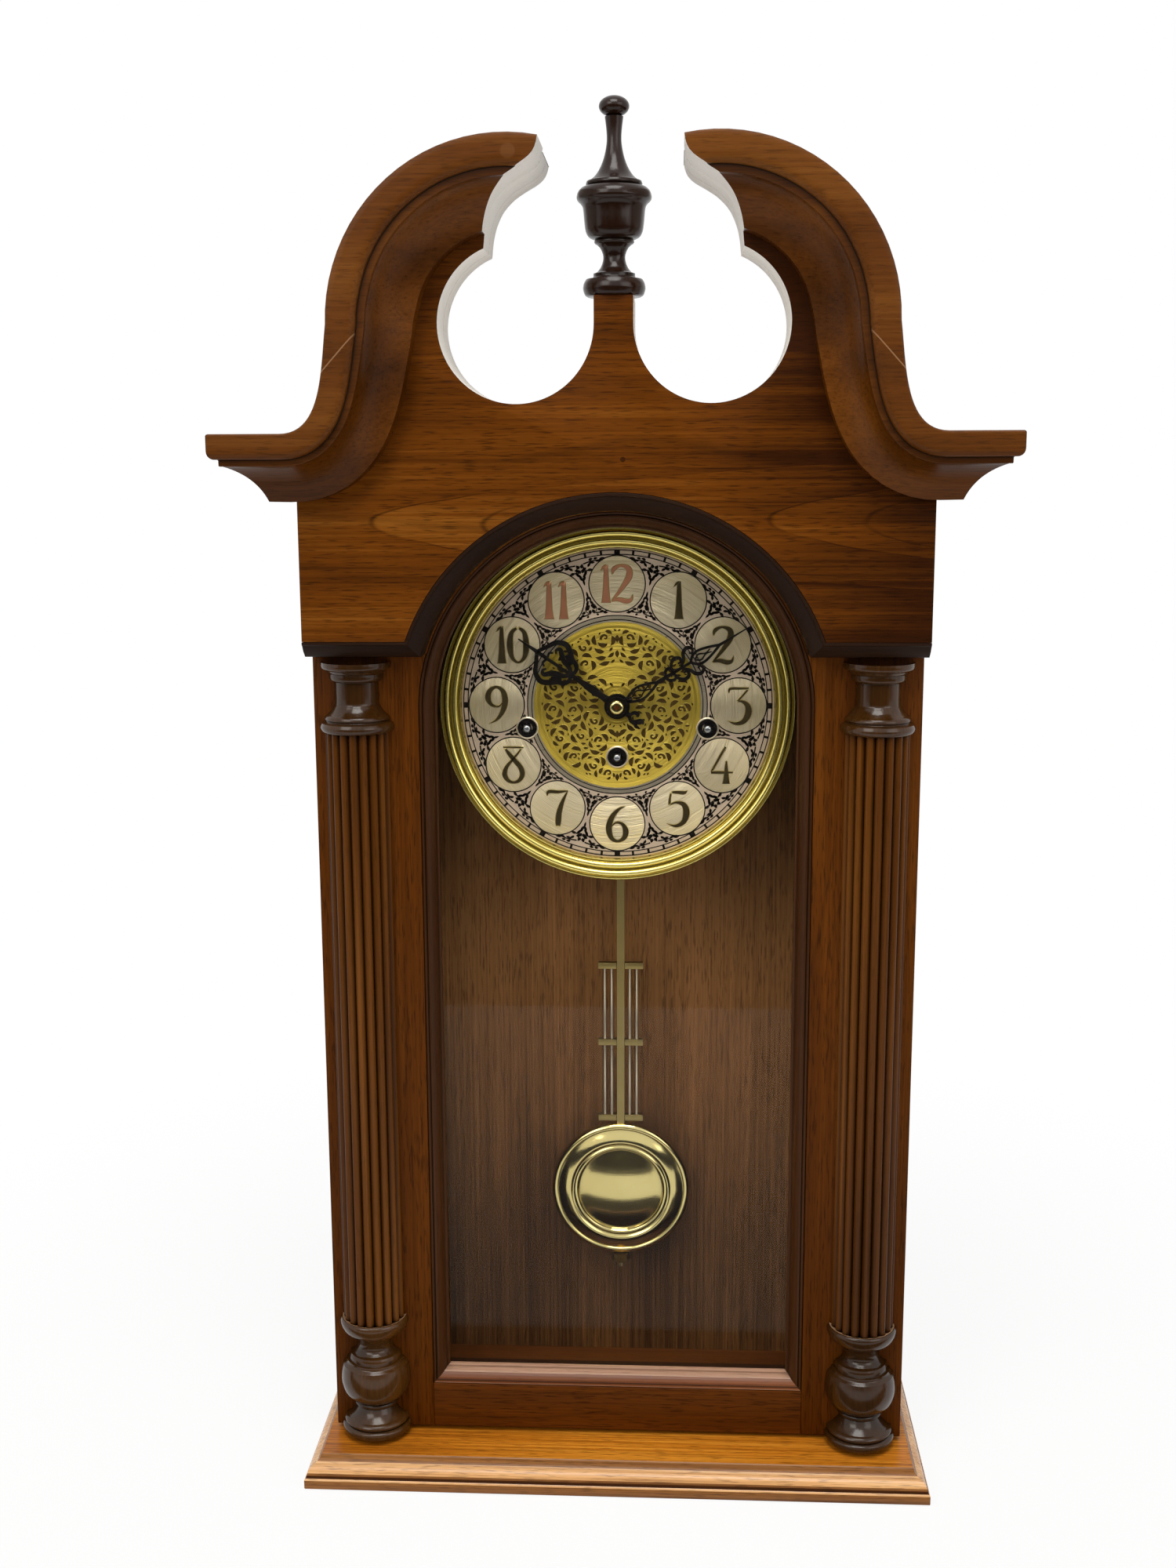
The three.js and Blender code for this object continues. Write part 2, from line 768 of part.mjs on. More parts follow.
// Cornice and swan neck, mitred where the front run meets the side return.
function crownPieces() {
  const section = crownSection();
  const path = new THREE.Path();
  const tip = -caseHalf - crownReach;
  path.moveTo(tip, crownTop);
  swanPath(path, -1, 0);
  const run = swept(section, path, sweepSteps, crownSwell);
  const far = tip - crownReach;
  const farY = crownFront - crownReach;
  const rear = -hoodReach + past;
  const corner = [-caseHalf, -hoodReach];
  const low = crownBottom - past;
  const high = crownTop + past;
  const sideWedge = post(outline([corner, [far, farY], [far, rear], [-caseHalf, rear]]), low, high);
  const frontWedge = post(outline([corner, [far, farY], [-caseHalf, farY]]), low, high);
  const topZ = scrollTop(swanRadius);
  const scrollGap = new THREE.Shape();
  scrollGap.moveTo(0, topZ + past);
  scrollGap.lineTo(-swanTopX, topZ + past);
  scrollGap.lineTo(-swanTopX, topZ);
  scrollGap.bezierCurveTo(-ogeeUpper[0], ogeeUpper[1], -ogeeLower[0], ogeeLower[1], -cuspX, cuspZ);
  scrollGap.lineTo(-cuspX, cuspZ - crownHeight);
  scrollGap.lineTo(0, cuspZ - crownHeight);
  const endCut = plate(scrollGap, crownFront - past, rear, archSteps);
  const front = cut(run, sideWedge.translate(0, -glueGap, 0), endCut);
  const profile = outline(section.map(([drop, reach]) => [-caseHalf - reach, crownTop - drop]));
  return { front, side: cut(plate(profile, crownFront, doorThick), frontWedge) };
}
const crown = crownPieces();
addPair("swan_neck_left", "swan_neck_right", crown.front, cherry);
addPair("cornice_return_left", "cornice_return_right", crown.side, cherry);

// Finial, turned in one piece with its urn, flange and ball.
function finial() {
  const profile = [[0, neckTop], ...finialProfile.map(([radius, rise]) => [radius, neckTop + rise])];
  const ballZ = neckTop + finialBallRise;
  const from = THREE.MathUtils.degToRad(finialBallFrom);
  for (let i = 0; i < finialBallSteps; i++) {
    const angle = from + (i / finialBallSteps) * (Math.PI / 2 - from);
    profile.push([finialBallRadius * Math.cos(angle), ballZ + finialBallHalf * Math.sin(angle)]);
  }
  return turned([...profile, [0, ballZ + finialBallHalf]], 0, finialY);
}
add("finial", finial(), darkTurning);

// Half columns: turned capital and base with a reeded shaft between them, split down the middle.
function turnedEnd(profile, foot) {
  const height = profile.at(-1)[1];
  const rings = profile.map(([beyond, rise]) => [columnRadius + beyond, foot + rise]);
  return turned([[0, foot], ...rings, [0, foot + height]], 0, 0);
}

function column() {
  const capitalTop = hoodBottom - capitalGap;
  const capitalFoot = capitalTop - capitalProfile.at(-1)[1];
  const baseTop = doorBottom + baseProfile.at(-1)[1];
  const valley = columnRadius - reedDepth;
  const reeds = new THREE.Shape();
  reeds.moveTo(-valley, 0);
  for (let i = 1; i <= reedCount * reedSteps; i++) {
    const turn = Math.PI * (1 + i / (reedCount * reedSteps));
    const radius = valley + reedDepth * Math.sin((Math.PI * (i % reedSteps)) / reedSteps);
    reeds.lineTo(radius * Math.cos(turn), radius * Math.sin(turn));
  }
  const shaft = post(reeds, baseTop - past, capitalFoot + past);
  const whole = join(turnedEnd(capitalProfile, capitalFoot), shaft, turnedEnd(baseProfile, doorBottom));
  const room = 2 * columnRadius;
  const front = block(-room, room, -room, 0, doorBottom - past, capitalTop + past);
  return common(whole, front).translate(columnInset - caseHalf, 0, 0);
}
addPair("column_left", "column_right", column(), darkTurning);

// Glazing: an arched pane behind a sloped bead, held by a strip at the back.
function archedShape(half, low) {
  const shape = new THREE.Shape();
  shape.moveTo(-half, low);
  shape.lineTo(half, low);
  shape.lineTo(half, archZ);
  shape.absarc(0, archZ, half, 0, Math.PI, false);
  return shape;
}

function archedRing(outerHalf, outerLow, width, y0, y1) {
  const shape = archedShape(outerHalf, outerLow);
  shape.holes.push(archedShape(outerHalf - width, outerLow + width));
  return plate(shape, y0, y1);
}

// The bead's slope is cut by a wedge along each straight run and a cone round the arch.
function bead() {
  const outer = openingHalf - glueGap;
  const inner = glassHalf;
  const low = railTop + glueGap;
  const sill = low + outer - inner;
  const ring = archedRing(outer, low, outer - inner, 0, beadDepth);
  const wedge = (a, b) => outline([[a, 0], [b, beadSlope], [b, -past], [a, -past]]);
  const left = post(wedge(-outer, -inner), low, archZ);
  const right = post(wedge(outer, inner), low, archZ);
  const cross = beam(outline([[0, low], [beadSlope, sill], [-past, sill], [-past, low]]), -outer, outer);
  const hollow = [[0, -past], [outer, -past], [outer, 0], [inner, beadSlope], [0, beadSlope]];
  const upper = block(-outer, outer, -2 * past, beadDepth, archZ, archZ + outer);
  return cut(ring, left, right, cross, common(spun(hollow, 0, archZ, largeRound), upper));
}
add("glass_bead", bead(), cherry);
const paneHalf = openingHalf - glassEdgeGap;
const paneLow = railTop + glassEdgeGap;
const paneBack = beadDepth + glassThick;
const retainerBack = paneBack + retainerDepth;
add("door_glass", plate(archedShape(paneHalf, paneLow), beadDepth, paneBack), glassClear);
add("glass_retainer", archedRing(paneHalf, paneLow, retainerWidth, paneBack, retainerBack), darkTurning);

// Butt hinges let into the right-hand seam: the pin stays in the case leaf's two outer knuckles.
function hingeRod(radius, z0, z1) {
  return rodUpright(radius, hingeX, hingeY, z0, z1);
}

function hinge(name, z) {
  const middle = z + knuckleLength;
  const upper = middle + knuckleLength;
  const end = upper + knuckleLength;
  const play = knuckleGap / 2;
  const leafX = hingeX - leafWidth;
  const near = leafSet;
  const far = leafSet + leafThick;
  const caseLeaf = block(leafX, hingeX, hingeY + near, hingeY + far, z, end);
  const caseSide = join(
    cut(caseLeaf, hingeRod(swingRoom, middle - play, upper + play)),
    hingeRod(pinRadius, z, end),
    hingeRod(knuckleRadius, z, middle - play),
    hingeRod(knuckleRadius, upper + play, end),
  );
  const doorLeaf = block(leafX, hingeX, hingeY - far, hingeY - near, z, end);
  const lowRoom = hingeRod(swingRoom, z - past, middle + play);
  const highRoom = hingeRod(swingRoom, upper - play, end + past);
  const sleeve = hingeRod(knuckleRadius, middle + play, upper - play);
  const bore = hingeRod(pinRadius + pinGap, middle - past, upper + past);
  add(`hinge_case_leaf_${name}`, caseSide, brass);
  add(`hinge_door_leaf_${name}`, cut(join(cut(doorLeaf, lowRoom, highRoom), sleeve), bore), brass);
}
for (const [name, z] of hingeSpots) hinge(name, z);

// Magnetic catch inside the left side, and its strike on the door's back.
const catchX = -caseHalf + sideThick;
const catchEnd = catchX + catchDepth;
const catchTop = catchZ + catchHeight;
const strikeBack = doorThick + strikeThick;
const magnetFront = strikeBack + glueGap;
const magnet = block(catchX, catchEnd, magnetFront, magnetFront + catchDepth, catchZ, catchTop);
add("magnet_catch", magnet, black);
const strike = block(
  catchX + strikeMarginX, catchEnd - strikeMarginX,
  doorThick, strikeBack,
  catchZ + strikeMarginZ, catchTop - strikeMarginZ,
);
add("catch_strike", strike, steel);

// Dial: bezel, silvered chapter ring, engraved centre and a backing plate on four feet.
const arborSpots = [
  ["time", 0, -timeArborDown],
  ["strike", -sideArborX, -sideArborDown],
  ["chime", sideArborX, -sideArborDown],
];

function arborHoles(radius, y0, y1) {
  return arborSpots.map(([, x, drop]) => disc(radius, y0, y1, x, archZ + drop));
}
const windingHoles = arborHoles(windingHole, bezelFront, frontPlateY);

const bezelSeat = dialFront - glueGap;
const bezelBore = dialPlateRadius + glueGap;
const bezelSection = [
  [bezelRadius, dialBack],
  ...bezelProfile.map(([inset, depth]) => [bezelRadius - inset, bezelFront + depth]),
  [bezelInner, bezelSeat], [bezelBore, bezelSeat], [bezelBore, dialBack], [bezelRadius, dialBack],
];
add("bezel", spun(bezelSection, 0, archZ, largeRound), gold);
const chapter = washer(centreRadius + glueGap, dialPlateRadius, dialFront, chapterBack, 0, archZ, largeRound);
add("chapter_ring", cut(chapter, ...windingHoles), silver);
const centre = washer(pipeHole, centreRadius, dialFront - centreRise, chapterBack, 0, archZ, largeRound);
add("dial_centre", cut(centre, ...windingHoles), gold);

function dialPlate() {
  const sheet = washer(pipeHole, dialPlateRadius, chapterBack, dialBack, 0, archZ, largeRound);
  const feet = [];
  for (const x of [-footX, footX]) {
    for (const z of [archZ + footUp, archZ - footDown]) {
      feet.push(disc(footRadius, chapterBack + dialPlateThick / 2, frontPlateY, x, z));
    }
  }
  return join(cut(sheet, ...windingHoles), ...feet);
}
add("dial_plate", dialPlate(), brass);

// Hands: drawn upright and then turned to the time shown.
function hand(sizes, bore, y) {
  const { reach, hub, tail, angle, loops } = sizes;
  const back = y + handThick;
  const last = loops.at(-1);
  const neckZ = last.at + last.width;
  const rootZ = neckZ * bladeRootShare;
  const blade = plate(outline([
    [-tailHalf, -tail], [tailHalf, -tail], [bladeRoot, rootZ], [bladeNeck, neckZ], [bladeTip, reach],
    [-bladeTip, reach], [-bladeNeck, neckZ], [-bladeRoot, rootZ],
  ]), y, back);
  const rounds = [disc(hub, y, back, 0, 0)];
  const gaps = [disc(bore, y - past, back + past, 0, 0)];
  for (const { at, width, offset } of loops) {
    for (const x of [-offset, offset]) {
      rounds.push(disc(width, y, back, x, at));
      gaps.push(disc(width - loopRim, y - past, back + past, x, at));
    }
  }
  const spine = block(-bladeSpine, bladeSpine, y, back, hub, neckZ);
  const pierced = join(cut(join(blade, ...rounds), ...gaps), spine);
  return pierced.rotateY(THREE.MathUtils.degToRad(angle)).translate(0, 0, archZ);
}
add("minute_hand", hand(minuteHandSizes, cannonRadius + runningGap, minuteHandY), black);
add("hour_hand", hand(hourHandSizes, pipeRadius + runningGap, hourHandY), black);
const nutBack = minuteHandY - glueGap;
const nutFront = nutBack - nutThick;
const nutEdge = nutBack - nutBand;
const nutSide = [[nutTopRadius, nutFront], [nutRadius, nutEdge], [nutRadius, nutBack]];
add("hand_nut", spun([[0, nutFront], ...nutSide, [0, nutBack]], 0, archZ, smallRound), brass);

// Motion work behind the dial
const cannonPitch = (cannonTeeth * minuteModule) / 2;
const minutePitch = (minuteTeeth * minuteModule) / 2;
const motionDistance = cannonPitch + minutePitch;
const hourPitch = (motionDistance * hourTeeth) / (hourTeeth + minutePinionTeeth);
const minutePinionPitch = motionDistance - hourPitch;
const studX = motionDistance * Math.SQRT1_2;
const studZ = archZ + motionDistance * Math.SQRT1_2;
const hourWheelY = frontPlateY - hourWheelSet;
const hourWheelBack = hourWheelY + motionWheelThick;
const minuteWheelY = hourWheelBack + runningGap;
const minuteWheelBack = minuteWheelY + motionWheelThick;
const minutePinionY = hourWheelY - runningGap;

function pitchGear(teeth, pitch, y0, y1, x, z) {
  return gear(teeth, pitch - toothClear, toothDepth, y0, y1, x, z);
}

const pipeBore = cannonRadius + runningGap;
const hourPipe = washer(pipeBore, pipeRadius, hourHandY - pipeLip, hourWheelBack, 0, archZ);
const hourRim = pitchGear(hourTeeth, hourPitch, hourWheelY, hourWheelBack, 0, archZ);
const hourBore = disc(pipeBore, hourWheelY - past, hourWheelBack + past, 0, archZ);
add("hour_wheel", join(cut(hourRim, hourBore), hourPipe), brass);
const minuteRim = pitchGear(minuteTeeth, minutePitch, minuteWheelY, minuteWheelBack, studX, studZ);
const leafBack = minuteWheelY + wheelLap;
const minuteLeaves = pitchGear(minutePinionTeeth, minutePinionPitch, minutePinionY, leafBack, studX, studZ);
const minuteBore = disc(studRadius + runningGap, minutePinionY - past, minuteWheelBack + past, studX, studZ);
add("minute_wheel", cut(join(minuteRim, minuteLeaves), minuteBore), brass);

// Movement plates. The back plate carries the pillars, the front plate the minute wheel's stud.
const plateHoles = [
  ...arborHoles(arborRadius + runningGap, frontPlateY - past, backPlateRear + past),
  ...[[centreArborRadius, archZ], [escapeArborRadius, escapeZ], [anchorArborRadius, swingZ]].map(
    ([radius, z]) => disc(radius + runningGap, frontPlateY - past, backPlateRear + past, 0, z),
  ),
];

function frontPlate() {
  const sheet = block(-plateHalf, plateHalf, frontPlateY, frontPlateRear, plateLow, plateHigh);
  const stud = disc(studRadius, minutePinionY, frontPlateY + plateThick / 2, studX, studZ);
  return join(cut(sheet, ...plateHoles), stud);
}
add("front_plate", frontPlate(), brass);

function backPlate() {
  const sheet = block(-plateHalf, plateHalf, backPlateY, backPlateRear, plateLow, plateHigh);
  const pillars = [];
  for (const x of [-plateHalf + pillarInset, plateHalf - pillarInset]) {
    for (const z of [plateLow + pillarInset, plateHigh - pillarInset]) {
      pillars.push(disc(pillarRadius, frontPlateRear, backPlateY + plateThick / 2, x, z));
    }
  }
  return join(cut(sheet, ...plateHoles), ...pillars);
}
add("back_plate", backPlate(), brass);

// Bracket: two arms from the back plate and a strap across the back panel.
function bracket() {
  const low = archZ - bracketDown;
  const high = archZ + bracketUp;
  const outerX = bracketX + bracketThick;
  const flangeX = bracketX - bracketFlange;
  const flangeBack = backPlateRear + bracketThick;
  return join(
    block(-outerX, outerX, panelFront - bracketThick, panelFront, archZ - strapDown, archZ + strapUp),
    block(-outerX, -bracketX, backPlateRear, panelFront, low, high),
    block(bracketX, outerX, backPlateRear, panelFront, low, high),
    block(-outerX, -flangeX, backPlateRear, flangeBack, low, high),
    block(flangeX, outerX, backPlateRear, flangeBack, low, high),
  );
}
add("movement_bracket", bracket(), steel);

// Winding arbors with their ratchet wheels, and the mainspring barrels that turn on them
const ratchetY = frontPlateRear + ratchetSet;
const ratchetBack = ratchetY + ratchetThick;
const barrelY = ratchetBack + barrelSet;
const greatWheelY = barrelY + barrelLength;
const greatWheelBack = greatWheelY + greatWheelThick;
const timeWheelRadius = timeArborDown - centrePinionRadius - pinionClear;
const arborApart = Math.hypot(sideArborX, timeArborDown - sideArborDown);
const sideWheelRadius = arborApart - timeWheelRadius - greatWheelApart;
const keyHalf = arborSquare / 2;
const keyFront = dialFront - arborProud;
for (const [train, x, drop] of arborSpots) {
  const z = archZ + drop;
  const key = block(x - keyHalf, x + keyHalf, keyFront, frontPlateY - past, z - keyHalf, z + keyHalf);
  const shaft = disc(arborRadius, frontPlateY - 2 * past, backPlateRear + past, x, z);
  const ratchet = gear(ratchetTeeth, ratchetRadius, ratchetDepth, ratchetY, ratchetBack, x, z);
  add(`winding_arbor_${train}`, join(key, shaft, ratchet), steel);
  const tip = train === "time" ? timeWheelRadius : sideWheelRadius;
  const drum = disc(barrelRadius, barrelY, greatWheelY + wheelLap, x, z, middleRound);
  const wheel = gear(greatTeeth, tip, greatDepth, greatWheelY, greatWheelBack, x, z);
  const bore = disc(arborRadius + runningGap, barrelY - past, greatWheelBack + past, x, z);
  add(`${train}_barrel`, cut(join(drum, wheel), bore), brass);
}

// Centre arbor with the cannon, its pinions and the centre wheel
const centreWheelY = greatWheelBack + centreWheelSet;
const centreWheelBack = centreWheelY + centreWheelThick;
const centreLap = centreWheelY + wheelLap;
const centreArbor = join(
  disc(cannonRadius, minuteHandY, frontPlateY - arborEndGap, 0, archZ),
  pitchGear(cannonTeeth, cannonPitch, minuteWheelY, minuteWheelBack, 0, archZ),
  disc(centreArborRadius, frontPlateY - past, backPlateRear - arborEndGap, 0, archZ),
  gear(centrePinionLeaves, centrePinionRadius, centrePinionDepth, greatWheelY, centreLap, 0, archZ),
  gear(greatTeeth, centreWheelRadius, centreWheelDepth, centreWheelY, centreWheelBack, 0, archZ),
);
add("centre_arbor", centreArbor, brass);

// Escape wheel, and the anchor with its crutch on the same axis as the pendulum's spring
const escapeY = frontPlateRear + escapeSet;
const escapeBack = escapeY + escapeThick;
const escapeRim = gear(escapeTeeth, escapeRadius, escapeDepth, escapeY, escapeBack, 0, escapeZ);
const arborStart = frontPlateY + arborEndGap;
const escapeArbor = disc(escapeArborRadius, arborStart, backPlateRear - arborEndGap, 0, escapeZ);
add("escape_wheel", join(escapeRim, escapeArbor), brass);

const stripFront = pendulumY - rodThick / 2;
const stripBack = pendulumY + rodThick / 2;
const crutchY = backPlateRear + crutchSet;
const crutchBack = crutchY + crutchThick;

function anchor() {
  const pallet = (escapeRadius + palletPast) * Math.SQRT1_2;
  const side = [
    [anchorHalf, anchorHalf / 3],
    [pallet + 4 * palletWide, 3 * palletWide - pallet],
    [pallet + 2 * palletWide, -palletWide - pallet],
    [pallet - palletWide, -pallet],
    [anchorWaist, -anchorHalf],
  ];
  const mirrored = side.map(([x, z]) => [-x, z]).reverse();
  const arms = plate(outline([...side, ...mirrored]), escapeY - palletWide, escapeBack + palletWide);
  const forkZ = swingZ - forkDrop;
  const slotHalf = rodWidth / 2 + runningGap;
  const forkHalf = slotHalf + forkWall;
  const forkBack = stripBack + forkFloor;
  const forkLow = forkZ - forkHalfHeight;
  const forkHigh = forkZ + forkHalfHeight;
  const fork = block(-forkHalf, forkHalf, crutchY, forkBack, forkLow, forkHigh);
  const slotFront = stripFront - runningGap;
  const slot = block(-slotHalf, slotHalf, slotFront, forkBack + past, forkLow - past, forkHigh + past);
  return join(
    arms.translate(0, 0, swingZ),
    disc(anchorArborRadius, arborStart, crutchBack, 0, swingZ),
    block(-crutchHalf, crutchHalf, crutchY, crutchBack, forkZ, swingZ),
    cut(fork, slot),
  );
}
add("pallet_anchor", anchor(), steel);

// Suspension cock on the back plate: its chops hang just above the spring's bend.
const chopZ = swingZ + chopGap;
const cockZ = swingZ + cockRise;
const cockBack = pendulumY + chopHalf;
const cockBar = block(-cockHalf, cockHalf, backPlateRear, cockBack, cockZ, cockZ + cockThick);
const cockChops = block(-chopHalf, chopHalf, pendulumY - chopHalf, cockBack, chopZ, cockZ + chopGap);
add("suspension_cock", join(cockBar, cockChops), brass);

// Pendulum: spring and strip, gridiron of three bars and four wires, bob and rating nut
const rodSeatZ = bobTop - rodSeat;
const springFoot = swingZ - springDrop;
const rodEnd = bobBottom - ratingNutHeight - threadPast;
const springHalf = springWidth / 2;
const springSide = springThick / 2;
const springFront = pendulumY - springHalf;
const springBack = pendulumY + springHalf;
const pendulumRod = join(
  block(-rodWidth / 2, rodWidth / 2, stripFront, stripBack, rodSeatZ, springFoot + past),
  block(-springSide, springSide, springFront, springBack, springFoot, chopZ - glueGap),
  rodUpright(threadRadius, 0, pendulumY, rodEnd, bobTop),
);
add("pendulum_rod", pendulumRod, steel);

function gridiron() {
  const halfThick = gridBarThick / 2;
  const halfHeight = gridBarHeight / 2;
  const front = pendulumY - halfThick;
  const back = pendulumY + halfThick;
  const levels = Array.from({ length: gridBarCount }, (_, i) => gridLow + i * gridBarPitch);
  const low = levels[0] - halfHeight;
  const high = levels.at(-1) + halfHeight;
  const barAt = (z) => block(-gridBarHalf, gridBarHalf, front, back, z - halfHeight, z + halfHeight);
  const wireSpots = [-wireOuterX, -wireInnerX, wireInnerX, wireOuterX];
  const wires = wireSpots.map((x) => rodUpright(wireRadius, x, pendulumY, low + wireSeat, high - wireSeat));
  const half = rodWidth / 2 + glueGap;
  const slot = block(-half, half, front - past, stripBack + glueGap, low - past, high + past);
  return cut(join(...levels.map(barAt), ...wires), slot);
}
add("pendulum_grid", gridiron(), brass);

const threadBore = threadRadius + glueGap;
function bob() {
  const front = pendulumY - bobThick / 2;
  const back = pendulumY + bobThick / 2;
  const shell = spun([
    [0, front],
    ...bobProfile.map(([inset, depth]) => [bobRadius - inset, front + depth]),
    [bobRadius, back - bobBackEdge], [bobRadius - bobBackInset, back], [0, back],
  ], 0, bobZ, largeRound);
  const half = rodWidth / 2 + glueGap;
  const seat = rodSeatZ - glueGap;
  const stripSlot = block(-half, half, stripFront - glueGap, stripBack + glueGap, seat, bobTop + past);
  return cut(shell, stripSlot, rodUpright(threadBore, 0, pendulumY, bobBottom - past, bobTop));
}
add("pendulum_bob", bob(), gold);
const nutTop = bobBottom - glueGap;
const nutLow = nutTop - ratingNutHeight;
const ratingBlank = rodUpright(ratingNutRadius, 0, pendulumY, nutLow, nutTop);
const ratingBore = rodUpright(threadBore, 0, pendulumY, nutLow - past, nutTop + past);
add("rating_nut", cut(ratingBlank, ratingBore), brass);

// Chime rods in their block on the back panel, and four hammers hung from a rail on the back plate
const chimeBlockLow = archZ + chimeBlockUp;
function chimeRods() {
  const high = chimeBlockLow + chimeBlockHeight;
  const front = chimeRodY - chimeBlockLip;
  const holder = block(-chimeBlockHalf, chimeBlockHalf, front, panelFront, chimeBlockLow, high);
  const rods = rodSpots.map((x, i) => {
    const foot = archZ - chimeRodDrop + i * chimeRodStep;
    return rodUpright(chimeRodRadius, x, chimeRodY, foot, chimeBlockLow + past);
  });
  return join(holder, ...rods);
}
add("chime_rods", chimeRods(), steel);

const railZ = archZ + hammerUp;
const hammerBack = chimeRodY - chimeRodRadius - hammerGap;
const railY = hammerBack - hammerLength / 2;
function hammerRail() {
  const end = hammerRailHalf + railLugThick;
  const back = railY + railLugMargin;
  const low = plateHigh - railLugSeat;
  const high = railZ + railLugMargin;
  return join(
    rodAlongX(hammerRailRadius, -hammerRailHalf - past, hammerRailHalf + past, railY, railZ),
    block(-end, -hammerRailHalf, backPlateRear, back, low, high),
    block(hammerRailHalf, end, backPlateRear, back, low, high),
  );
}
add("hammer_rail", hammerRail(), steel);

const headZ = railZ - hammerDrop;
const armFront = railY - hammerArmThick / 2;
const armBack = railY + hammerArmThick / 2;
const hammerBore = hammerRailRadius + runningGap;
rodSpots.forEach((x, i) => {
  const hub = rodAlongX(hammerHubRadius, x - hammerHubHalf, x + hammerHubHalf, railY, railZ);
  const arm = block(x - hammerArmHalf, x + hammerArmHalf, armFront, armBack, headZ, railZ - hammerBore);
  const head = disc(hammerRadius, hammerBack - hammerLength, hammerBack, x, headZ);
  const bore = rodAlongX(hammerBore, x - hammerHubHalf - past, x + hammerHubHalf + past, railY, railZ);
  add(`hammer_${i + 1}`, cut(join(hub, arm, head), bore), brass);
});

// Origin at the middle of the footprint's box, on the floor of the plinth
clock.position.y = -(crownFront + backY) / 2;

export default clock;
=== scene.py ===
from math import acos, asin, atan2, cos, hypot, pi, radians, sin, sqrt

import bmesh
import bpy
from mathutils import Matrix, Vector


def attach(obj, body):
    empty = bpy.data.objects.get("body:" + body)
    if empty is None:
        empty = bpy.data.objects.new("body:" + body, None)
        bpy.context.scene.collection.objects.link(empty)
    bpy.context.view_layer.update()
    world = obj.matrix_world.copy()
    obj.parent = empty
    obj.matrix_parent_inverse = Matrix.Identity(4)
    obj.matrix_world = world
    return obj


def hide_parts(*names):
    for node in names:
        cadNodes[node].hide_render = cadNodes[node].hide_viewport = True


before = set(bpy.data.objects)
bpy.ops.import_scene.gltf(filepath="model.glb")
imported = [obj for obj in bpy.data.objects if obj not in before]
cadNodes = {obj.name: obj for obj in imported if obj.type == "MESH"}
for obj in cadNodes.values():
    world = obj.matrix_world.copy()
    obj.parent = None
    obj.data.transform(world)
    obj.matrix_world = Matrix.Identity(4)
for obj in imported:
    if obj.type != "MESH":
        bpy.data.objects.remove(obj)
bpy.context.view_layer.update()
scene = bpy.context.scene

# Sizes of the pieces are millimetres, with Y 0 on the front face of the door
toFrame = Matrix.Translation((0, -0.024, 0)) @ Matrix.Scale(0.001, 4)
toBench = toFrame.inverted()
print("frame loaded:", len(cadNodes), "nodes")


# Node helpers
def put(tree, kind, inputs=None, **settings):
    node = tree.nodes.new(kind)
    for key, value in settings.items():
        setattr(node, key, value)
    for key, value in (inputs or {}).items():
        if isinstance(value, bpy.types.NodeSocket):
            tree.links.new(value, node.inputs[key])
        else:
            node.inputs[key].default_value = value
    return node


def maths(tree, operation, a, b=0.0, c=0.0):
    return put(tree, "ShaderNodeMath", {0: a, 1: b, 2: c}, operation=operation).outputs[0]


def vectorMaths(tree, operation, a, b=(0.0, 0.0, 0.0)):
    made = put(tree, "ShaderNodeVectorMath", {0: a, 1: b}, operation=operation).outputs
    return made["Value" if operation == "LENGTH" else "Vector"]


def mapRange(tree, value, low, high, start=0.0, end=1.0, smooth=False):
    ends = {"Value": value, "From Min": low, "From Max": high, "To Min": start, "To Max": end}
    kind = "SMOOTHSTEP" if smooth else "LINEAR"
    return put(tree, "ShaderNodeMapRange", ends, interpolation_type=kind).outputs[0]


def splitPlace(tree, vector):
    return put(tree, "ShaderNodeSeparateXYZ", {0: vector}).outputs


def ramp(tree, fac, stops):
    node = put(tree, "ShaderNodeValToRGB", {"Fac": fac})
    elements = node.color_ramp.elements
    elements.remove(elements[1])
    elements[0].position = stops[0][0]
    elements[0].color = (*stops[0][1], 1)
    for place, colour in stops[1:]:
        elements.new(place).color = (*colour, 1)
    return node.outputs["Color"]


def blendColours(tree, fac, a, b):
    node = put(tree, "ShaderNodeMix", data_type="RGBA", blend_type="MIX")
    sockets = [s for s in node.inputs if s.enabled]
    for socket, value in zip(sockets, (fac, a, b)):
        if isinstance(value, bpy.types.NodeSocket):
            tree.links.new(value, socket)
        else:
            socket.default_value = value if isinstance(value, float) else (*value, 1)
    return [s for s in node.outputs if s.enabled][0]


# A colour as it is read off a screen, 0 to 255
def tint(*channels):
    return tuple((c / 255 / 12.92) if c < 11 else ((c / 255 + 0.055) / 1.055) ** 2.4 for c in channels)


def shaded(channels, share):
    return tint(*[c * share for c in channels])


# An input without a value is a vector
def newGroup(name, inputs, outputs):
    tree = bpy.data.node_groups.new(name, "ShaderNodeTree")
    for label, value in inputs.items():
        kind = "NodeSocketVector" if value is None else "NodeSocketFloat"
        socket = tree.interface.new_socket(label, in_out="INPUT", socket_type=kind)
        if value is not None:
            socket.default_value = value
    for label in outputs:
        tree.interface.new_socket(label, in_out="OUTPUT", socket_type="NodeSocketFloat")
    return tree, tree.nodes.new("NodeGroupInput").outputs, tree.nodes.new("NodeGroupOutput").inputs


def useGroup(tree, group, inputs):
    return put(tree, "ShaderNodeGroup", inputs, node_tree=group).outputs


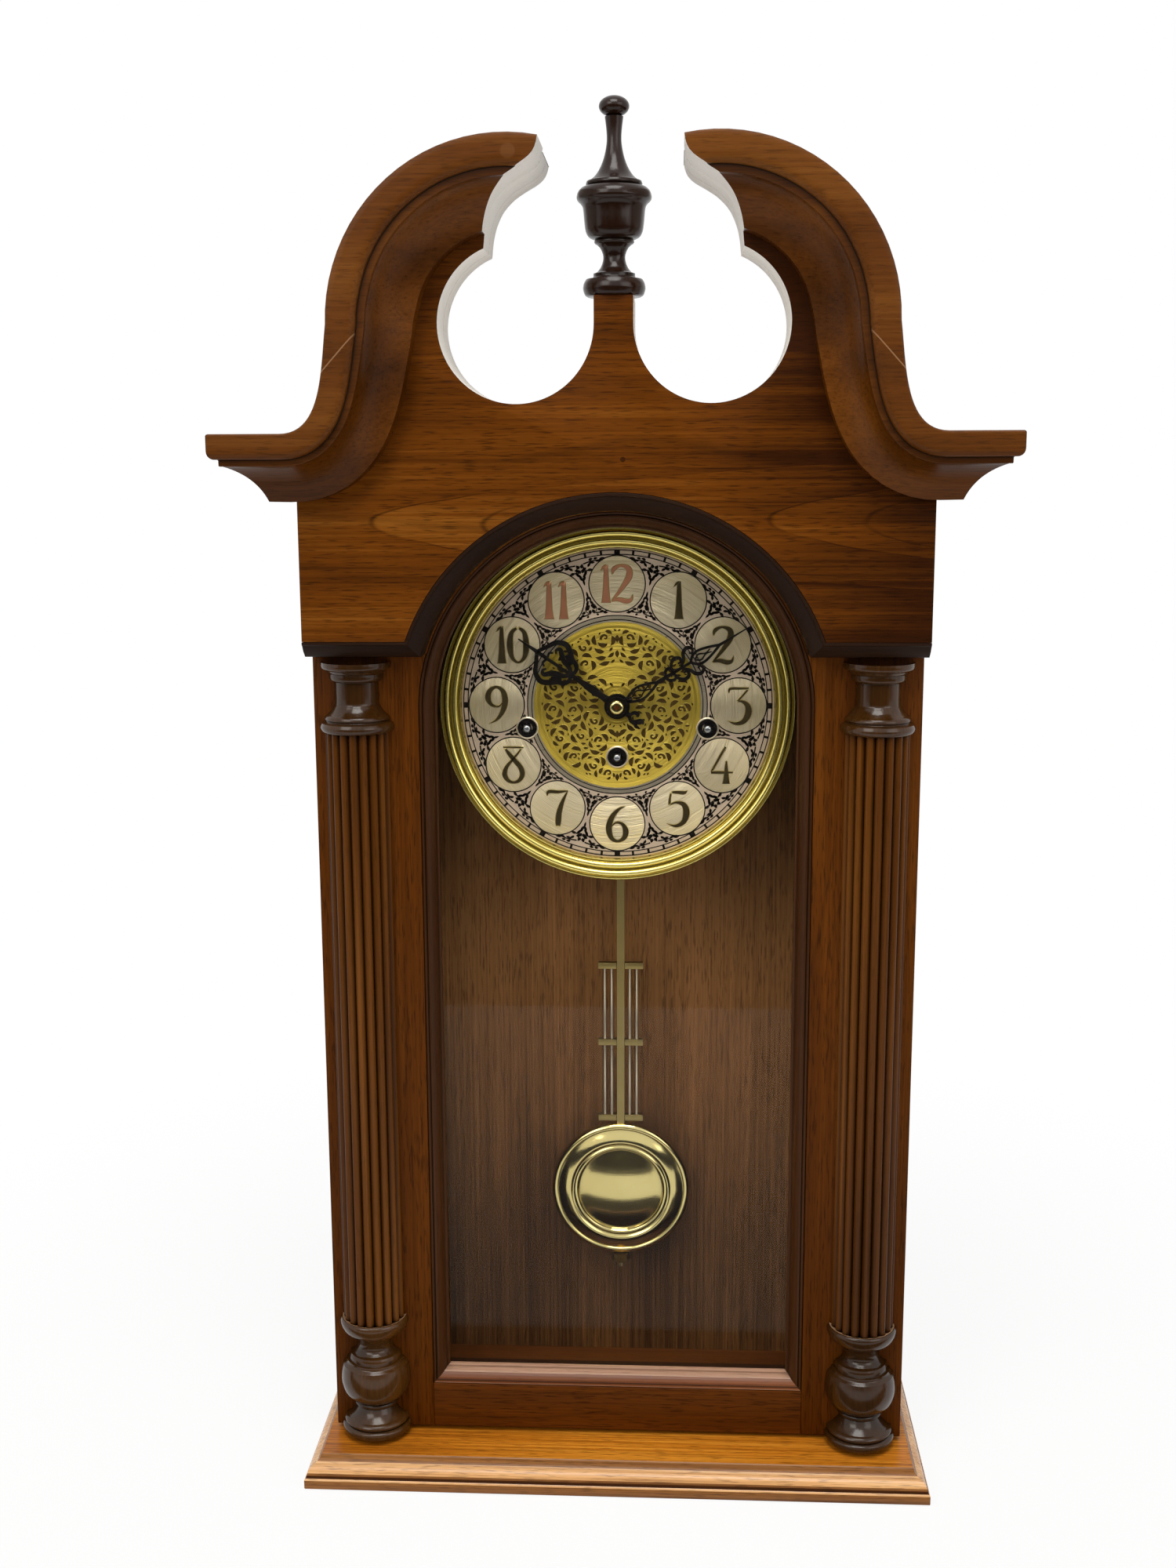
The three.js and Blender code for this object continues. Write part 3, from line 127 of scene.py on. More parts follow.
def noise(tree, vector, stretch, detail=2.0, roughness=0.5):
    values = {"Vector": vectorMaths(tree, "MULTIPLY", vector, stretch), "Scale": 1.0}
    values.update({"Detail": detail, "Roughness": roughness})
    return put(tree, "ShaderNodeTexNoise", values).outputs["Fac"]


# Dark where a phase passes a whole number
def growthLine(tree, phase, width):
    near = maths(tree, "PINGPONG", phase, 0.5)
    return mapRange(tree, near, 0.0, width, 1.0, 0.0, smooth=True)


# Wood figure with the grain along X: growth lines, streaks, short pores and slow clouds
grainFigure = dict(
    sway=(3.2, 9.0, 9.0), shiver=(18.0, 90.0, 90.0), shiverShare=0.35, tilt=0.6, lineWidth=0.13,
    fade=(9.0, 30.0, 30.0), streaks=(5.0, 620.0, 620.0), specks=(90.0, 1100.0, 1100.0), pores=(0.54, 0.7),
    cloud=(2.6, 26.0, 26.0),
)


def makeWoodFigure():
    g = grainFigure
    inputs = {"Vector": None, "Rings": 45.0, "Waviness": 3.0}
    tree, enter, leave = newGroup("woodFigure", inputs, ["Figure", "Streaks", "Pores", "Cloud"])
    vector = enter["Vector"]
    split = splitPlace(tree, vector)
    shiver = maths(tree, "MULTIPLY", noise(tree, vector, g["shiver"], 3.0), g["shiverShare"])
    wavy = maths(tree, "MULTIPLY_ADD", noise(tree, vector, g["sway"]), enter["Waviness"], shiver)
    across = maths(tree, "ADD", split["Z"], maths(tree, "MULTIPLY", split["Y"], g["tilt"]))
    phase = maths(tree, "MULTIPLY_ADD", across, enter["Rings"], wavy)
    faded = maths(tree, "MULTIPLY", growthLine(tree, phase, g["lineWidth"]), noise(tree, vector, g["fade"]))
    pores = mapRange(tree, noise(tree, vector, g["specks"], 1.0), *g["pores"])
    tree.links.new(faded, leave["Figure"])
    tree.links.new(noise(tree, vector, g["streaks"], 4.0, 0.6), leave["Streaks"])
    tree.links.new(pores, leave["Pores"])
    tree.links.new(noise(tree, vector, g["cloud"], 3.0), leave["Cloud"])
    return tree


# Nested pointed growth lines of a flat-sawn board, open towards +X from their tip
flatSawn = dict(
    spread=0.005, spacing=0.02, sway=(14.0, 40.0, 40.0), swayShare=0.7, inside=(-0.06, 0.1),
    opens=(-0.2, -0.05), closes=(1.3, 1.5), ahead=(-1.2, -0.1), aheadShade=-0.8, fading=(18.0, 60.0, 60.0),
    fade=(0.3, 0.6), lineWidth=0.06,
)


def makeCathedral():
    f = flatSawn
    inputs = {"Vector": None, "Spread": f["spread"], "Spacing": f["spacing"]}
    tree, enter, leave = newGroup("cathedralFigure", inputs, ["Lines", "Inside"])
    vector = enter["Vector"]
    split = splitPlace(tree, vector)
    squared = maths(tree, "MULTIPLY", split["Z"], split["Z"])
    along = maths(tree, "SUBTRACT", split["X"], maths(tree, "DIVIDE", squared, enter["Spread"]))
    sway = maths(tree, "SUBTRACT", noise(tree, vector, f["sway"]), 0.5)
    steps = maths(tree, "DIVIDE", along, enter["Spacing"])
    phase = maths(tree, "MULTIPLY_ADD", sway, f["swayShare"], steps)
    inside = mapRange(tree, phase, *f["inside"], smooth=True)
    opened = mapRange(tree, phase, *f["opens"], smooth=True)
    band = maths(tree, "SUBTRACT", opened, mapRange(tree, phase, *f["closes"], smooth=True))
    line = maths(tree, "MULTIPLY", growthLine(tree, phase, f["lineWidth"]), band)
    fading = mapRange(tree, noise(tree, vector, f["fading"], 1.0), *f["fade"])
    tree.links.new(maths(tree, "MULTIPLY", line, fading), leave["Lines"])
    ahead = maths(tree, "SUBTRACT", mapRange(tree, phase, *f["ahead"], smooth=True), inside)
    tree.links.new(maths(tree, "MULTIPLY_ADD", ahead, f["aheadShade"], inside), leave["Inside"])
    return tree


# Open surface is 1, and a corner or quirk goes to 0: painted shade where shade falls, together with old
# polish and tarnish gathered there
crevice = dict(reach=0.008, samples=8, open=(0.25, 0.95))


def makeCrevice():
    tree, enter, leave = newGroup("creviceShadeAndPolish", {"Reach": crevice["reach"]}, ["Open"])
    look = put(
        tree, "ShaderNodeAmbientOcclusion", {"Distance": enter["Reach"]}, samples=crevice["samples"],
        only_local=True,
    )
    tree.links.new(mapRange(tree, look.outputs["AO"], *crevice["open"]), leave["Open"])
    return tree


# Brushing lines along X with slow stains, and the rings of brushing round a middle
brushed = dict(lines=(20.0, 1500.0, 1500.0), stain=(14.0, 14.0, 14.0), rings=(2600.0, 1.0, 1.0))


def makeBrushing():
    tree, enter, leave = newGroup("brushing", {"Vector": None}, ["Lines", "Stain"])
    tree.links.new(noise(tree, enter["Vector"], brushed["lines"], 3.0), leave["Lines"])
    tree.links.new(noise(tree, enter["Vector"], brushed["stain"], 4.0, 0.6), leave["Stain"])
    return tree


def makeRoundBrushing():
    tree, enter, leave = newGroup("roundBrushing", {"Vector": None}, ["Rings"])
    split = splitPlace(tree, enter["Vector"])
    square = maths(tree, "MULTIPLY", split["Z"], split["Z"])
    radius = maths(tree, "SQRT", maths(tree, "MULTIPLY_ADD", split["X"], split["X"], square))
    along = put(tree, "ShaderNodeCombineXYZ", {0: radius}).outputs[0]
    tree.links.new(noise(tree, along, brushed["rings"]), leave["Rings"])
    return tree


woodFigure = makeWoodFigure()
cathedralFigure = makeCathedral()
creviceShadeAndPolish = makeCrevice()
brushing = makeBrushing()
roundBrushing = makeRoundBrushing()


def startMaterial(name):
    material = bpy.data.materials.new(name)
    material.use_nodes = True
    tree = material.node_tree
    place = put(tree, "ShaderNodeTexCoord").outputs["Object"]
    return material, tree, tree.nodes["Principled BSDF"], place


def setShader(shader, **values):
    for key, value in values.items():
        shader.inputs[key.replace("_", " ")].default_value = value


# Shows one shader or the other by a mask
def mixSurface(tree, mask, first, second):
    mix = put(tree, "ShaderNodeMixShader", {0: mask, 1: first.outputs[0], 2: second.outputs[0]})
    tree.links.new(mix.outputs[0], tree.nodes["Material Output"].inputs["Surface"])


# Painted shade in corners and hollows, together with old polish on wood and tarnish on metal gathered there
def shadedAndGlazed(tree, colour, strength, reach, shade):
    opened = useGroup(tree, creviceShadeAndPolish, {"Reach": reach})["Open"]
    shut = maths(tree, "MULTIPLY_ADD", opened, -strength, strength)
    return blendColours(tree, shut, colour, shade)


grainAlong = (0, 0, 0)
grainUp = (0, radians(90), 0)

# What a wood doesn't say for itself
woodBase = dict(
    grain=grainAlong, rings=60.0, waviness=2.0, streak=0.3, line=0.1, cloud=0.7, pores=0.25, shadeAndGlaze=1.0,
)
beadFigure = dict(rings=70.0, waviness=1.2, shift=(0.7, 0.4, 0.1))
plinthFigure = dict(waviness=2.2, shift=(0.3, 0.8, 0.4))
woodLooks = {
    "cherryFront": dict(
        dark=(50, 21, 2), mid=(98, 51, 6), light=(142, 88, 28), rings=30.0, waviness=3.0,
        shift=(0.03, 0.0, 0.012), rough=0.45, shine=0.05, streak=0.6, line=0.4, cloud=0.8, pores=0.55,
        shadeAndGlaze=0.5,
    ),
    "cherryRail": dict(
        dark=(48, 19, 2), mid=(86, 43, 6), light=(118, 66, 18), waviness=3.0, shift=(0.3, 0.2, 0.12),
        rough=0.42, shine=0.06, streak=0.6, line=0.4, pores=0.5, shadeAndGlaze=0.5,
    ),
    "cherryUpright": dict(
        dark=(44, 18, 2), mid=(84, 42, 4), light=(116, 65, 14), grain=grainUp, rings=50.0, waviness=1.8,
        shift=(0.2, 0.1, 0.05), rough=0.4, shine=0.06, streak=0.55, line=0.35, pores=0.5, shadeAndGlaze=0.55,
    ),
    "cherryCrown": dict(
        dark=(46, 20, 2), mid=(86, 46, 9), light=(120, 73, 24), rings=20.0, shift=(0.4, 0.3, 0.2),
        rough=0.36, shine=0.12, streak=0.35, pores=0.35,
    ),
    # Cove under the fascia, darker as painted shade
    "crownCoveShadeWood": dict(
        dark=(34, 14, 1), mid=(78, 40, 4), light=(114, 64, 14), rings=20.0, shift=(0.4, 0.1, 0.3),
        rough=0.3, shine=0.14, streak=0.35, cloud=0.9, pores=0.3,
    ),
    # Near-black quirk: painted shade
    "quirkShadeWood": dict(
        dark=(14, 6, 1), mid=(32, 17, 4), light=(52, 30, 10), rings=20.0, shift=(0.1, 0.1, 0.3), rough=0.4,
        shine=0.1, cloud=0.5, pores=0.2,
    ),
    "turnedWood": dict(
        dark=(18, 9, 2), mid=(56, 32, 8), light=(92, 58, 20), grain=grainUp, waviness=1.4,
        shift=(0.5, 0.0, 0.3), rough=0.17, shine=0.42, pores=0.12,
    ),
    "reedWood": dict(
        dark=(20, 9, 2), mid=(84, 46, 10), light=(126, 76, 24), grain=grainUp, waviness=1.4,
        shift=(0.5, 0.0, 0.3), rough=0.26, shine=0.12, streak=0.35, pores=0.2,
    ),
    "finialWood": dict(
        dark=(12, 5, 2), mid=(32, 15, 6), light=(58, 31, 14), grain=grainUp, waviness=1.4,
        shift=(0.1, 0.4, 0.3), rough=0.2, shine=0.36, streak=0.25, cloud=0.5, pores=0.15,
    ),
    "hoodTrimWood": dict(
        dark=(18, 9, 4), mid=(36, 21, 12), light=(54, 34, 21), rings=50.0, waviness=1.5,
        shift=(0.1, 0.7, 0.3), rough=0.4, shine=0.1, cloud=0.4, pores=0.2, shadeAndGlaze=0.5,
    ),
    "beadWood": dict(
        beadFigure, dark=(32, 14, 5), mid=(62, 34, 12), light=(90, 52, 22), grain=grainUp, rough=0.32,
        shine=0.14, cloud=0.4, shadeAndGlaze=0.8,
    ),
    # Painted highlight along the foot of the bead
    "beadFootHighlightWood": dict(
        beadFigure, dark=(104, 68, 48), mid=(172, 132, 106), light=(200, 162, 134), rough=0.28, shine=0.45,
        cloud=0.4, shadeAndGlaze=0.8,
    ),
    # Foot of the bead painted lighter where light from above falls on it
    "beadFootLitWood": dict(
        beadFigure, dark=(62, 28, 12), mid=(116, 66, 36), light=(144, 92, 58), rough=0.3, shine=0.25,
        cloud=0.5, shadeAndGlaze=0.8,
    ),
    "wornLipWood": dict(
        beadFigure, dark=(112, 80, 54), mid=(160, 124, 94), light=(196, 162, 132), rough=0.5, shine=0.1,
        cloud=0.8, shadeAndGlaze=0.0,
    ),
    "backBoardWood": dict(
        dark=(52, 32, 15), mid=(98, 65, 34), light=(128, 88, 50), grain=grainUp, rings=24.0,
        shift=(0.9, 0.2, 0.6), rough=0.6, shine=0.06, streak=0.75, line=0.2, cloud=0.5, pores=0.45,
        shadeAndGlaze=0.0,
    ),
    "plinthWood": dict(
        plinthFigure, dark=(66, 34, 11), mid=(138, 89, 44), light=(182, 128, 72), rough=0.3, shine=0.25,
        streak=0.6, line=0.25, cloud=0.8, pores=0.4, shadeAndGlaze=0.8,
    ),
    # Painted highlight on the ogee's band and the fascia's edge
    "plinthOgeeHighlightWood": dict(
        plinthFigure, dark=(120, 70, 30), mid=(222, 167, 108), light=(250, 214, 168), rough=0.26, shine=0.5,
        streak=0.7, line=0.25, cloud=0.9, pores=0.4, shadeAndGlaze=0.7,
    ),
    # Painted shade, for the quirk and the top inside the case
    "plinthQuirkShadeWood": dict(
        plinthFigure, dark=(34, 16, 4), mid=(74, 40, 15), light=(100, 58, 25), rough=0.4, shine=0.1,
        streak=0.5, cloud=0.5, pores=0.3, shadeAndGlaze=0.5,
    ),
    # Top surface: its own orange tone, lightened as painted light from above
    "plinthTopLitWood": dict(
        dark=(116, 58, 8), mid=(194, 116, 27), light=(236, 160, 54), rings=90.0, shift=(0.6, 0.1, 0.9),
        rough=0.32, shine=0.25, streak=1.1, line=0.35, cloud=1.1, pores=0.5, shadeAndGlaze=0.2,
    ),
    # Near white: painted reflection of the white surroundings on sawn faces
    "cutEdgeReflection": dict(
        dark=(216, 210, 202), mid=(238, 234, 228), light=(246, 244, 240), rings=80.0, waviness=1.0,
        shift=(0.2, 0.2, 0.7), rough=0.6, shine=0.1, line=0.05, cloud=0.5, pores=0.1, shadeAndGlaze=0.0,
    ),
}


# A soft round spot on the front, wherever it lies in depth
def roundSpot(tree, place, spot):
    away = vectorMaths(tree, "SUBTRACT", place, spot["at"])
    distance = vectorMaths(tree, "LENGTH", vectorMaths(tree, "MULTIPLY", away, (1, 0, 1)))
    return mapRange(tree, distance, spot["radius"] * 0.8, spot["radius"], 1.0, 0.0)


# Tips of the two pointed figures on the pediment, how fast each spreads and the space between its lines
cathedrals = [((-0.134, 0.0, 0.584), 0.0042, 0.06), ((0.086, 0.0, 0.585), 0.0046, 0.05)]
knot = dict(at=(0.005, 0.0, 0.619), radius=0.0016)
# Grain lines and knot of the pediment, and its painted shade to the right and high up under the crown
pedimentTone = dict(
    lines=0.6, inside=0.06, knot=0.7, right=(0.04, 0.17), rightPaintedShade=-0.36, high=(0.63, 0.69),
    highPaintedShade=-0.26,
)


def pedimentFigureAndShade(tree, place, tone, line):
    p = pedimentTone
    for tip, spread, spacing in cathedrals:
        local = vectorMaths(tree, "SUBTRACT", place, tip)
        flame = useGroup(tree, cathedralFigure, {"Vector": local, "Spread": spread, "Spacing": spacing})
        line = maths(tree, "MULTIPLY_ADD", flame["Lines"], p["lines"], line)
        tone = maths(tree, "MULTIPLY_ADD", flame["Inside"], p["inside"], tone)
    line = maths(tree, "MAXIMUM", line, maths(tree, "MULTIPLY", roundSpot(tree, place, knot), p["knot"]))
    split = splitPlace(tree, place)
    # Painted shade: the board darkens to the right and high up under the crown
    tone = maths(tree, "MULTIPLY_ADD", mapRange(tree, split["X"], *p["right"]), p["rightPaintedShade"], tone)
    tone = maths(tree, "MULTIPLY_ADD", mapRange(tree, split["Z"], *p["high"]), p["highPaintedShade"], tone)
    return tone, line


# Painted shade on the back panel: its inside is darker than its outside, most at its foot, and a painted
# shadow lies under the dial; middle is halfway through it
backBoard = dict(
    middle=0.087, base=0.2, foot=(0.1, 0.34), lift=0.38, top=(0.31, 0.4), topShade=-0.16, outside=0.2,
)


def backBoardTone(tree, place, tone):
    b = backBoard
    split = splitPlace(tree, place)
    # Less painted shade higher up, and a painted shadow under the dial
    lifted = maths(tree, "MULTIPLY", mapRange(tree, split["Z"], *b["foot"]), b["lift"])
    inside = maths(tree, "MULTIPLY_ADD", mapRange(tree, split["Z"], *b["top"]), b["topShade"], lifted)
    outside = maths(tree, "MULTIPLY", maths(tree, "GREATER_THAN", split["Y"], b["middle"]), b["outside"])
    lighter = maths(tree, "MAXIMUM", inside, outside)
    return maths(tree, "ADD", maths(tree, "SUBTRACT", tone, b["base"]), lighter)


# Thin pale line where the two blocks of a swan neck are glued, slanting across the moulding
glueLine = dict(
    x=0.1537, z=0.663, acrossShare=0.738, riseShare=0.675, half=0.00035, middle=0.012, reach=0.016,
    strength=0.6, colour=(150, 112, 80),
)
nailPlug = dict(at=(-0.0526, 0.0, 0.774), radius=0.0042, strength=0.16, colour=(128, 92, 56))


def glueJoint(tree, place):
    g = glueLine
    split = splitPlace(tree, place)
    side = maths(tree, "SUBTRACT", g["x"], maths(tree, "ABSOLUTE", split["X"]))
    rise = maths(tree, "SUBTRACT", split["Z"], g["z"])
    across = maths(tree, "MULTIPLY", side, g["acrossShare"])
    off = maths(tree, "SUBTRACT", across, maths(tree, "MULTIPLY", rise, g["riseShare"]))
    thin = maths(tree, "LESS_THAN", maths(tree, "ABSOLUTE", off), g["half"])
    away = maths(tree, "ABSOLUTE", maths(tree, "SUBTRACT", rise, g["middle"]))
    level = maths(tree, "LESS_THAN", away, g["reach"])
    return maths(tree, "MULTIPLY", maths(tree, "MULTIPLY", thin, level), g["strength"])


def crownMarks(tree, place, colour):
    colour = blendColours(tree, glueJoint(tree, place), colour, tint(*glueLine["colour"]))
    plug = maths(tree, "MULTIPLY", roundSpot(tree, place, nailPlug), nailPlug["strength"])
    return blendColours(tree, plug, colour, tint(*nailPlug["colour"]))


woodSurface = dict(
    middle=0.45, darkAt=0.12, midAt=0.45, lightAt=0.8, lineShade=0.55, glazeShade=0.4, shadeAndGlazeReach=0.007,
    roughSpread=0.2, poreDepth=-0.6, bump=0.08, bumpDistance=0.0003, ior=1.45,
)


def makeWood(name, look):
    s = woodSurface
    material, tree, shader, place = startMaterial(name)
    turned = {"Vector": place, "Location": look["shift"], "Rotation": look["grain"]}
    mapped = put(tree, "ShaderNodeMapping", turned).outputs[0]
    figure = {"Vector": mapped, "Rings": look["rings"], "Waviness": look["waviness"]}
    wood = useGroup(tree, woodFigure, figure)
    tone = maths(tree, "MULTIPLY_ADD", wood["Streaks"], look["streak"], s["middle"] - look["streak"] / 2)
    tone = maths(tree, "SUBTRACT", tone, look["cloud"] / 2)
    tone = maths(tree, "MULTIPLY_ADD", wood["Cloud"], look["cloud"], tone)
    line = maths(tree, "MULTIPLY", wood["Figure"], look["line"])
    if name == "cherryFront":
        tone, line = pedimentFigureAndShade(tree, place, tone, line)
    if name == "backBoardWood":
        tone = backBoardTone(tree, place, tone)
    stops = [(s[shade + "At"], tint(*look[shade])) for shade in ("dark", "mid", "light")]
    colour = ramp(tree, tone, stops)
    deep = shaded(look["dark"], s["lineShade"])
    colour = blendColours(tree, line, colour, deep)
    colour = blendColours(tree, maths(tree, "MULTIPLY", wood["Pores"], look["pores"]), colour, deep)
    if name == "cherryCrown":
        colour = crownMarks(tree, place, colour)
    if look["shadeAndGlaze"]:
        # Corners darkened: painted shade together with old polish
        colour = shadedAndGlazed(tree, colour, look["shadeAndGlaze"], s["shadeAndGlazeReach"], shaded(look["dark"], s["glazeShade"]))
    tree.links.new(colour, shader.inputs["Base Color"])
    smoothest = look["rough"] - s["roughSpread"] / 2
    rough = maths(tree, "MULTIPLY_ADD", wood["Streaks"], s["roughSpread"], smoothest)
    tree.links.new(rough, shader.inputs["Roughness"])
    height = maths(tree, "MULTIPLY_ADD", wood["Pores"], s["poreDepth"], wood["Streaks"])
    relief = {"Height": height, "Strength": s["bump"], "Distance": s["bumpDistance"]}
    tree.links.new(put(tree, "ShaderNodeBump", relief).outputs[0], shader.inputs["Normal"])
    setShader(shader, Specular_IOR_Level=look["shine"], IOR=s["ior"])
    return material


# What a metal doesn't say for itself; round is the strength of brushing round the dial's middle
metalBase = dict(metallic=1.0, shine=0.5, shadeAndGlaze=0.0)
metalLooks = {
    "giltBezel": dict(base=(246, 230, 142), stain=(234, 212, 116), rough=0.22, shadeAndGlaze=0.1),
    # Painted shade in the bezel's grooves
    "grooveShadeOlive": dict(base=(170, 150, 68), stain=(140, 118, 46), rough=0.34, shadeAndGlaze=0.4),
    "giltCentre": dict(base=(186, 166, 76), stain=(164, 136, 44), rough=0.36, shadeAndGlaze=0.2, round=0.9),
    # Stroke sides: painted highlight on gilt
    "giltEdgeHighlight": dict(base=(214, 196, 108), stain=(196, 170, 78), rough=0.34),
    # Stroke tops: painted shade of the relief's recesses
    "recessShadeDark": dict(base=(56, 40, 7), stain=(40, 28, 4), rough=0.55, metallic=0.1, shine=0.08),
    # Dark numeral face: painted reflection of a dark room on polished gilt
    "numeralDarkReflection": dict(base=(50, 41, 18), stain=(32, 25, 10), rough=0.42, metallic=0.2, shine=0.16),
    "numeralEdge": dict(base=(172, 158, 108), stain=(120, 104, 60), rough=0.3, metallic=0.8, shine=0.4),
    # Copper face of 11 and 12: painted reflection
    "numeralCopperReflection": dict(base=(190, 132, 100), stain=(132, 84, 56), rough=0.34, metallic=0.8, shine=0.4),
    "champagnePlate": dict(
        base=(196, 184, 156), stain=(176, 161, 128), rough=0.36, metallic=0.9, shine=0.4, round=0.9,
    ),
    "pinkSilver": dict(
        base=(178, 160, 140), stain=(154, 135, 114), rough=0.42, metallic=0.7, shine=0.4, round=0.5,
    ),
    "silverRing": dict(base=(216, 204, 180), stain=(190, 174, 146), rough=0.3, metallic=0.95, shadeAndGlaze=0.2),
    "polishedBrass": dict(base=(220, 206, 146), stain=(196, 176, 108), rough=0.12, shadeAndGlaze=0.6),
    "dullBrass": dict(base=(168, 150, 98), stain=(128, 108, 62), rough=0.36, shadeAndGlaze=0.4),
    "worksBrass": dict(base=(188, 152, 78), stain=(150, 114, 48), rough=0.34, shadeAndGlaze=0.4),
    "agedBrass": dict(base=(120, 92, 44), stain=(84, 60, 26), rough=0.4, shadeAndGlaze=0.6),
    "steel": dict(base=(176, 178, 180), stain=(132, 134, 138), rough=0.28, shadeAndGlaze=0.4),
    # Steel darkened: painted shade of the winding arbors in their holes
    "arborShadeSteel": dict(base=(52, 50, 50), stain=(30, 29, 30), rough=0.4, metallic=0.6, shine=0.3),
    "blackMetal": dict(base=(13, 9, 7), stain=(7, 5, 4), rough=0.4, metallic=0.0, shine=0.12),
    "blackPrint": dict(base=(12, 9, 7), stain=(20, 15, 11), rough=0.6, metallic=0.0, shine=0.05),
    "coppery": dict(base=(176, 112, 62), stain=(138, 78, 40), rough=0.25, shadeAndGlaze=0.2),
}
metalSurface = dict(
    glazeShade=0.3, shadeAndGlazeReach=0.003, roughSpread=0.14, bump=0.05, bumpDistance=0.0002,
    roundDistance=0.0009, dialMiddle=(0, 0, -0.476),
)


def makeMetal(name, look):
    s = metalSurface
    material, tree, shader, place = startMaterial(name)
    lines = useGroup(tree, brushing, {"Vector": place})
    colour = blendColours(tree, lines["Stain"], tint(*look["base"]), tint(*look["stain"]))
    if look["shadeAndGlaze"]:
        # Hollows darkened: painted shade together with tarnish
        colour = shadedAndGlazed(tree, colour, look["shadeAndGlaze"], s["shadeAndGlazeReach"], shaded(look["stain"], s["glazeShade"]))
    tree.links.new(colour, shader.inputs["Base Color"])
    smoothest = look["rough"] - s["roughSpread"] / 2
    rough = maths(tree, "MULTIPLY_ADD", lines["Lines"], s["roughSpread"], smoothest)
    tree.links.new(rough, shader.inputs["Roughness"])
    relief = {"Height": lines["Lines"], "Strength": s["bump"], "Distance": s["bumpDistance"]}
    if "round" in look:
        centred = put(tree, "ShaderNodeMapping", {"Vector": place, "Location": s["dialMiddle"]}).outputs[0]
        rings = useGroup(tree, roundBrushing, {"Vector": centred})["Rings"]
        relief = {"Height": rings, "Strength": look["round"], "Distance": s["roundDistance"]}
    tree.links.new(put(tree, "ShaderNodeBump", relief).outputs[0], shader.inputs["Normal"])
    setShader(shader, Metallic=look["metallic"], Specular_IOR_Level=look["shine"])
    return material


# Clear pane with a trace of dust, and light passes through it to what stands behind
pane = dict(dust=(30.0, 30.0, 30.0), clear=(1, 1, 1), dusty=(0.94, 0.95, 0.93), rough=0.03, ior=1.16)


def makeGlass():
    material, tree, shader, place = startMaterial("paneGlass")
    dust = noise(tree, place, pane["dust"], 5.0, 0.7)
    colour = ramp(tree, dust, [(0.4, pane["clear"]), (0.8, pane["dusty"])])
    tree.links.new(colour, shader.inputs["Base Color"])
    tree.links.new(maths(tree, "MULTIPLY", dust, pane["rough"]), shader.inputs["Roughness"])
    setShader(shader, Transmission_Weight=1.0, IOR=pane["ior"], Metallic=0.0)
    shadow = put(tree, "ShaderNodeLightPath").outputs["Is Shadow Ray"]
    mixSurface(tree, shadow, shader, put(tree, "ShaderNodeBsdfTransparent"))
    return material


finish = {name: makeWood(name, {**woodBase, **look}) for name, look in woodLooks.items()}
finish.update({name: makeMetal(name, {**metalBase, **look}) for name, look in metalLooks.items()})
finish["paneGlass"] = makeGlass()
print("materials made:", len(finish))


# Mesh helpers
def smoothLine(points, steps):
    first = tuple(2 * a - b for a, b in zip(points[0], points[1]))
    last = tuple(2 * a - b for a, b in zip(points[-1], points[-2]))
    run = [first] + [tuple(p) for p in points] + [last]
    line = []
    for p0, p1, p2, p3 in zip(run, run[1:], run[2:], run[3:]):
        for i in range(steps):
            t = i / steps
            spot = []
            for a, b, c, d in zip(p0, p1, p2, p3):
                square = 2 * a - 5 * b + 4 * c - d
                cube = 3 * b - a - 3 * c + d
                spot.append(0.5 * (2 * b + (c - a) * t + square * t * t + cube * t ** 3))
            line.append(tuple(spot))
    return line + [tuple(points[-1])]


def bezier(p0, p1, p2, p3, steps):
    line = []
    for i in range(steps + 1):
        t = i / steps
        s = 1 - t
        shares = (s ** 3, 3 * s * s * t, 3 * s * t * t, t ** 3)
        line.append(tuple(sum(k * v for k, v in zip(shares, axis)) for axis in zip(p0, p1, p2, p3)))
    return line


def arc(cx, cz, radius, start, end, steps):
    angles = [radians(start + (end - start) * i / steps) for i in range(steps + 1)]
    return [(cx + radius * cos(a), cz + radius * sin(a)) for a in angles]


# Smooth runs that meet at crisp steps
def runsLine(runs):
    line = []
    for run in runs:
        line += smoothLine(run, 4)
    return line


# A grid whose rows are laid on the given rings
def layGrid(bm, rings):
    rows = len(rings)
    columns = len(rings[0])
    made = bmesh.ops.create_grid(bm, x_segments=rows - 1, y_segments=columns - 1, size=1)["verts"]
    for vert in made:
        row = round((vert.co.x + 1) / 2 * (rows - 1))
        column = round((vert.co.y + 1) / 2 * (columns - 1))
        vert.co = rings[row][column]


mergeGap = 0.0005


def sweepClosed(bm, rings, capped=True):
    layGrid(bm, [list(ring) + [ring[0]] for ring in rings])
    bmesh.ops.remove_doubles(bm, verts=bm.verts, dist=mergeGap)
    if capped:
        capOpenings(bm)


def capOpenings(bm):
    rim = [e for e in bm.edges if e.is_boundary]
    if rim:
        bmesh.ops.holes_fill(bm, edges=rim, sides=0)


# Rings between two rails; a section gives the share of the way across and the depth
def railRings(outer, inner, section, front):
    rings = []
    for (ox, oz), (ix, iz) in zip(outer, inner):
        rings.append([(ox + (ix - ox) * b, front + y, oz + (iz - oz) * b) for b, y in section])
    return rings


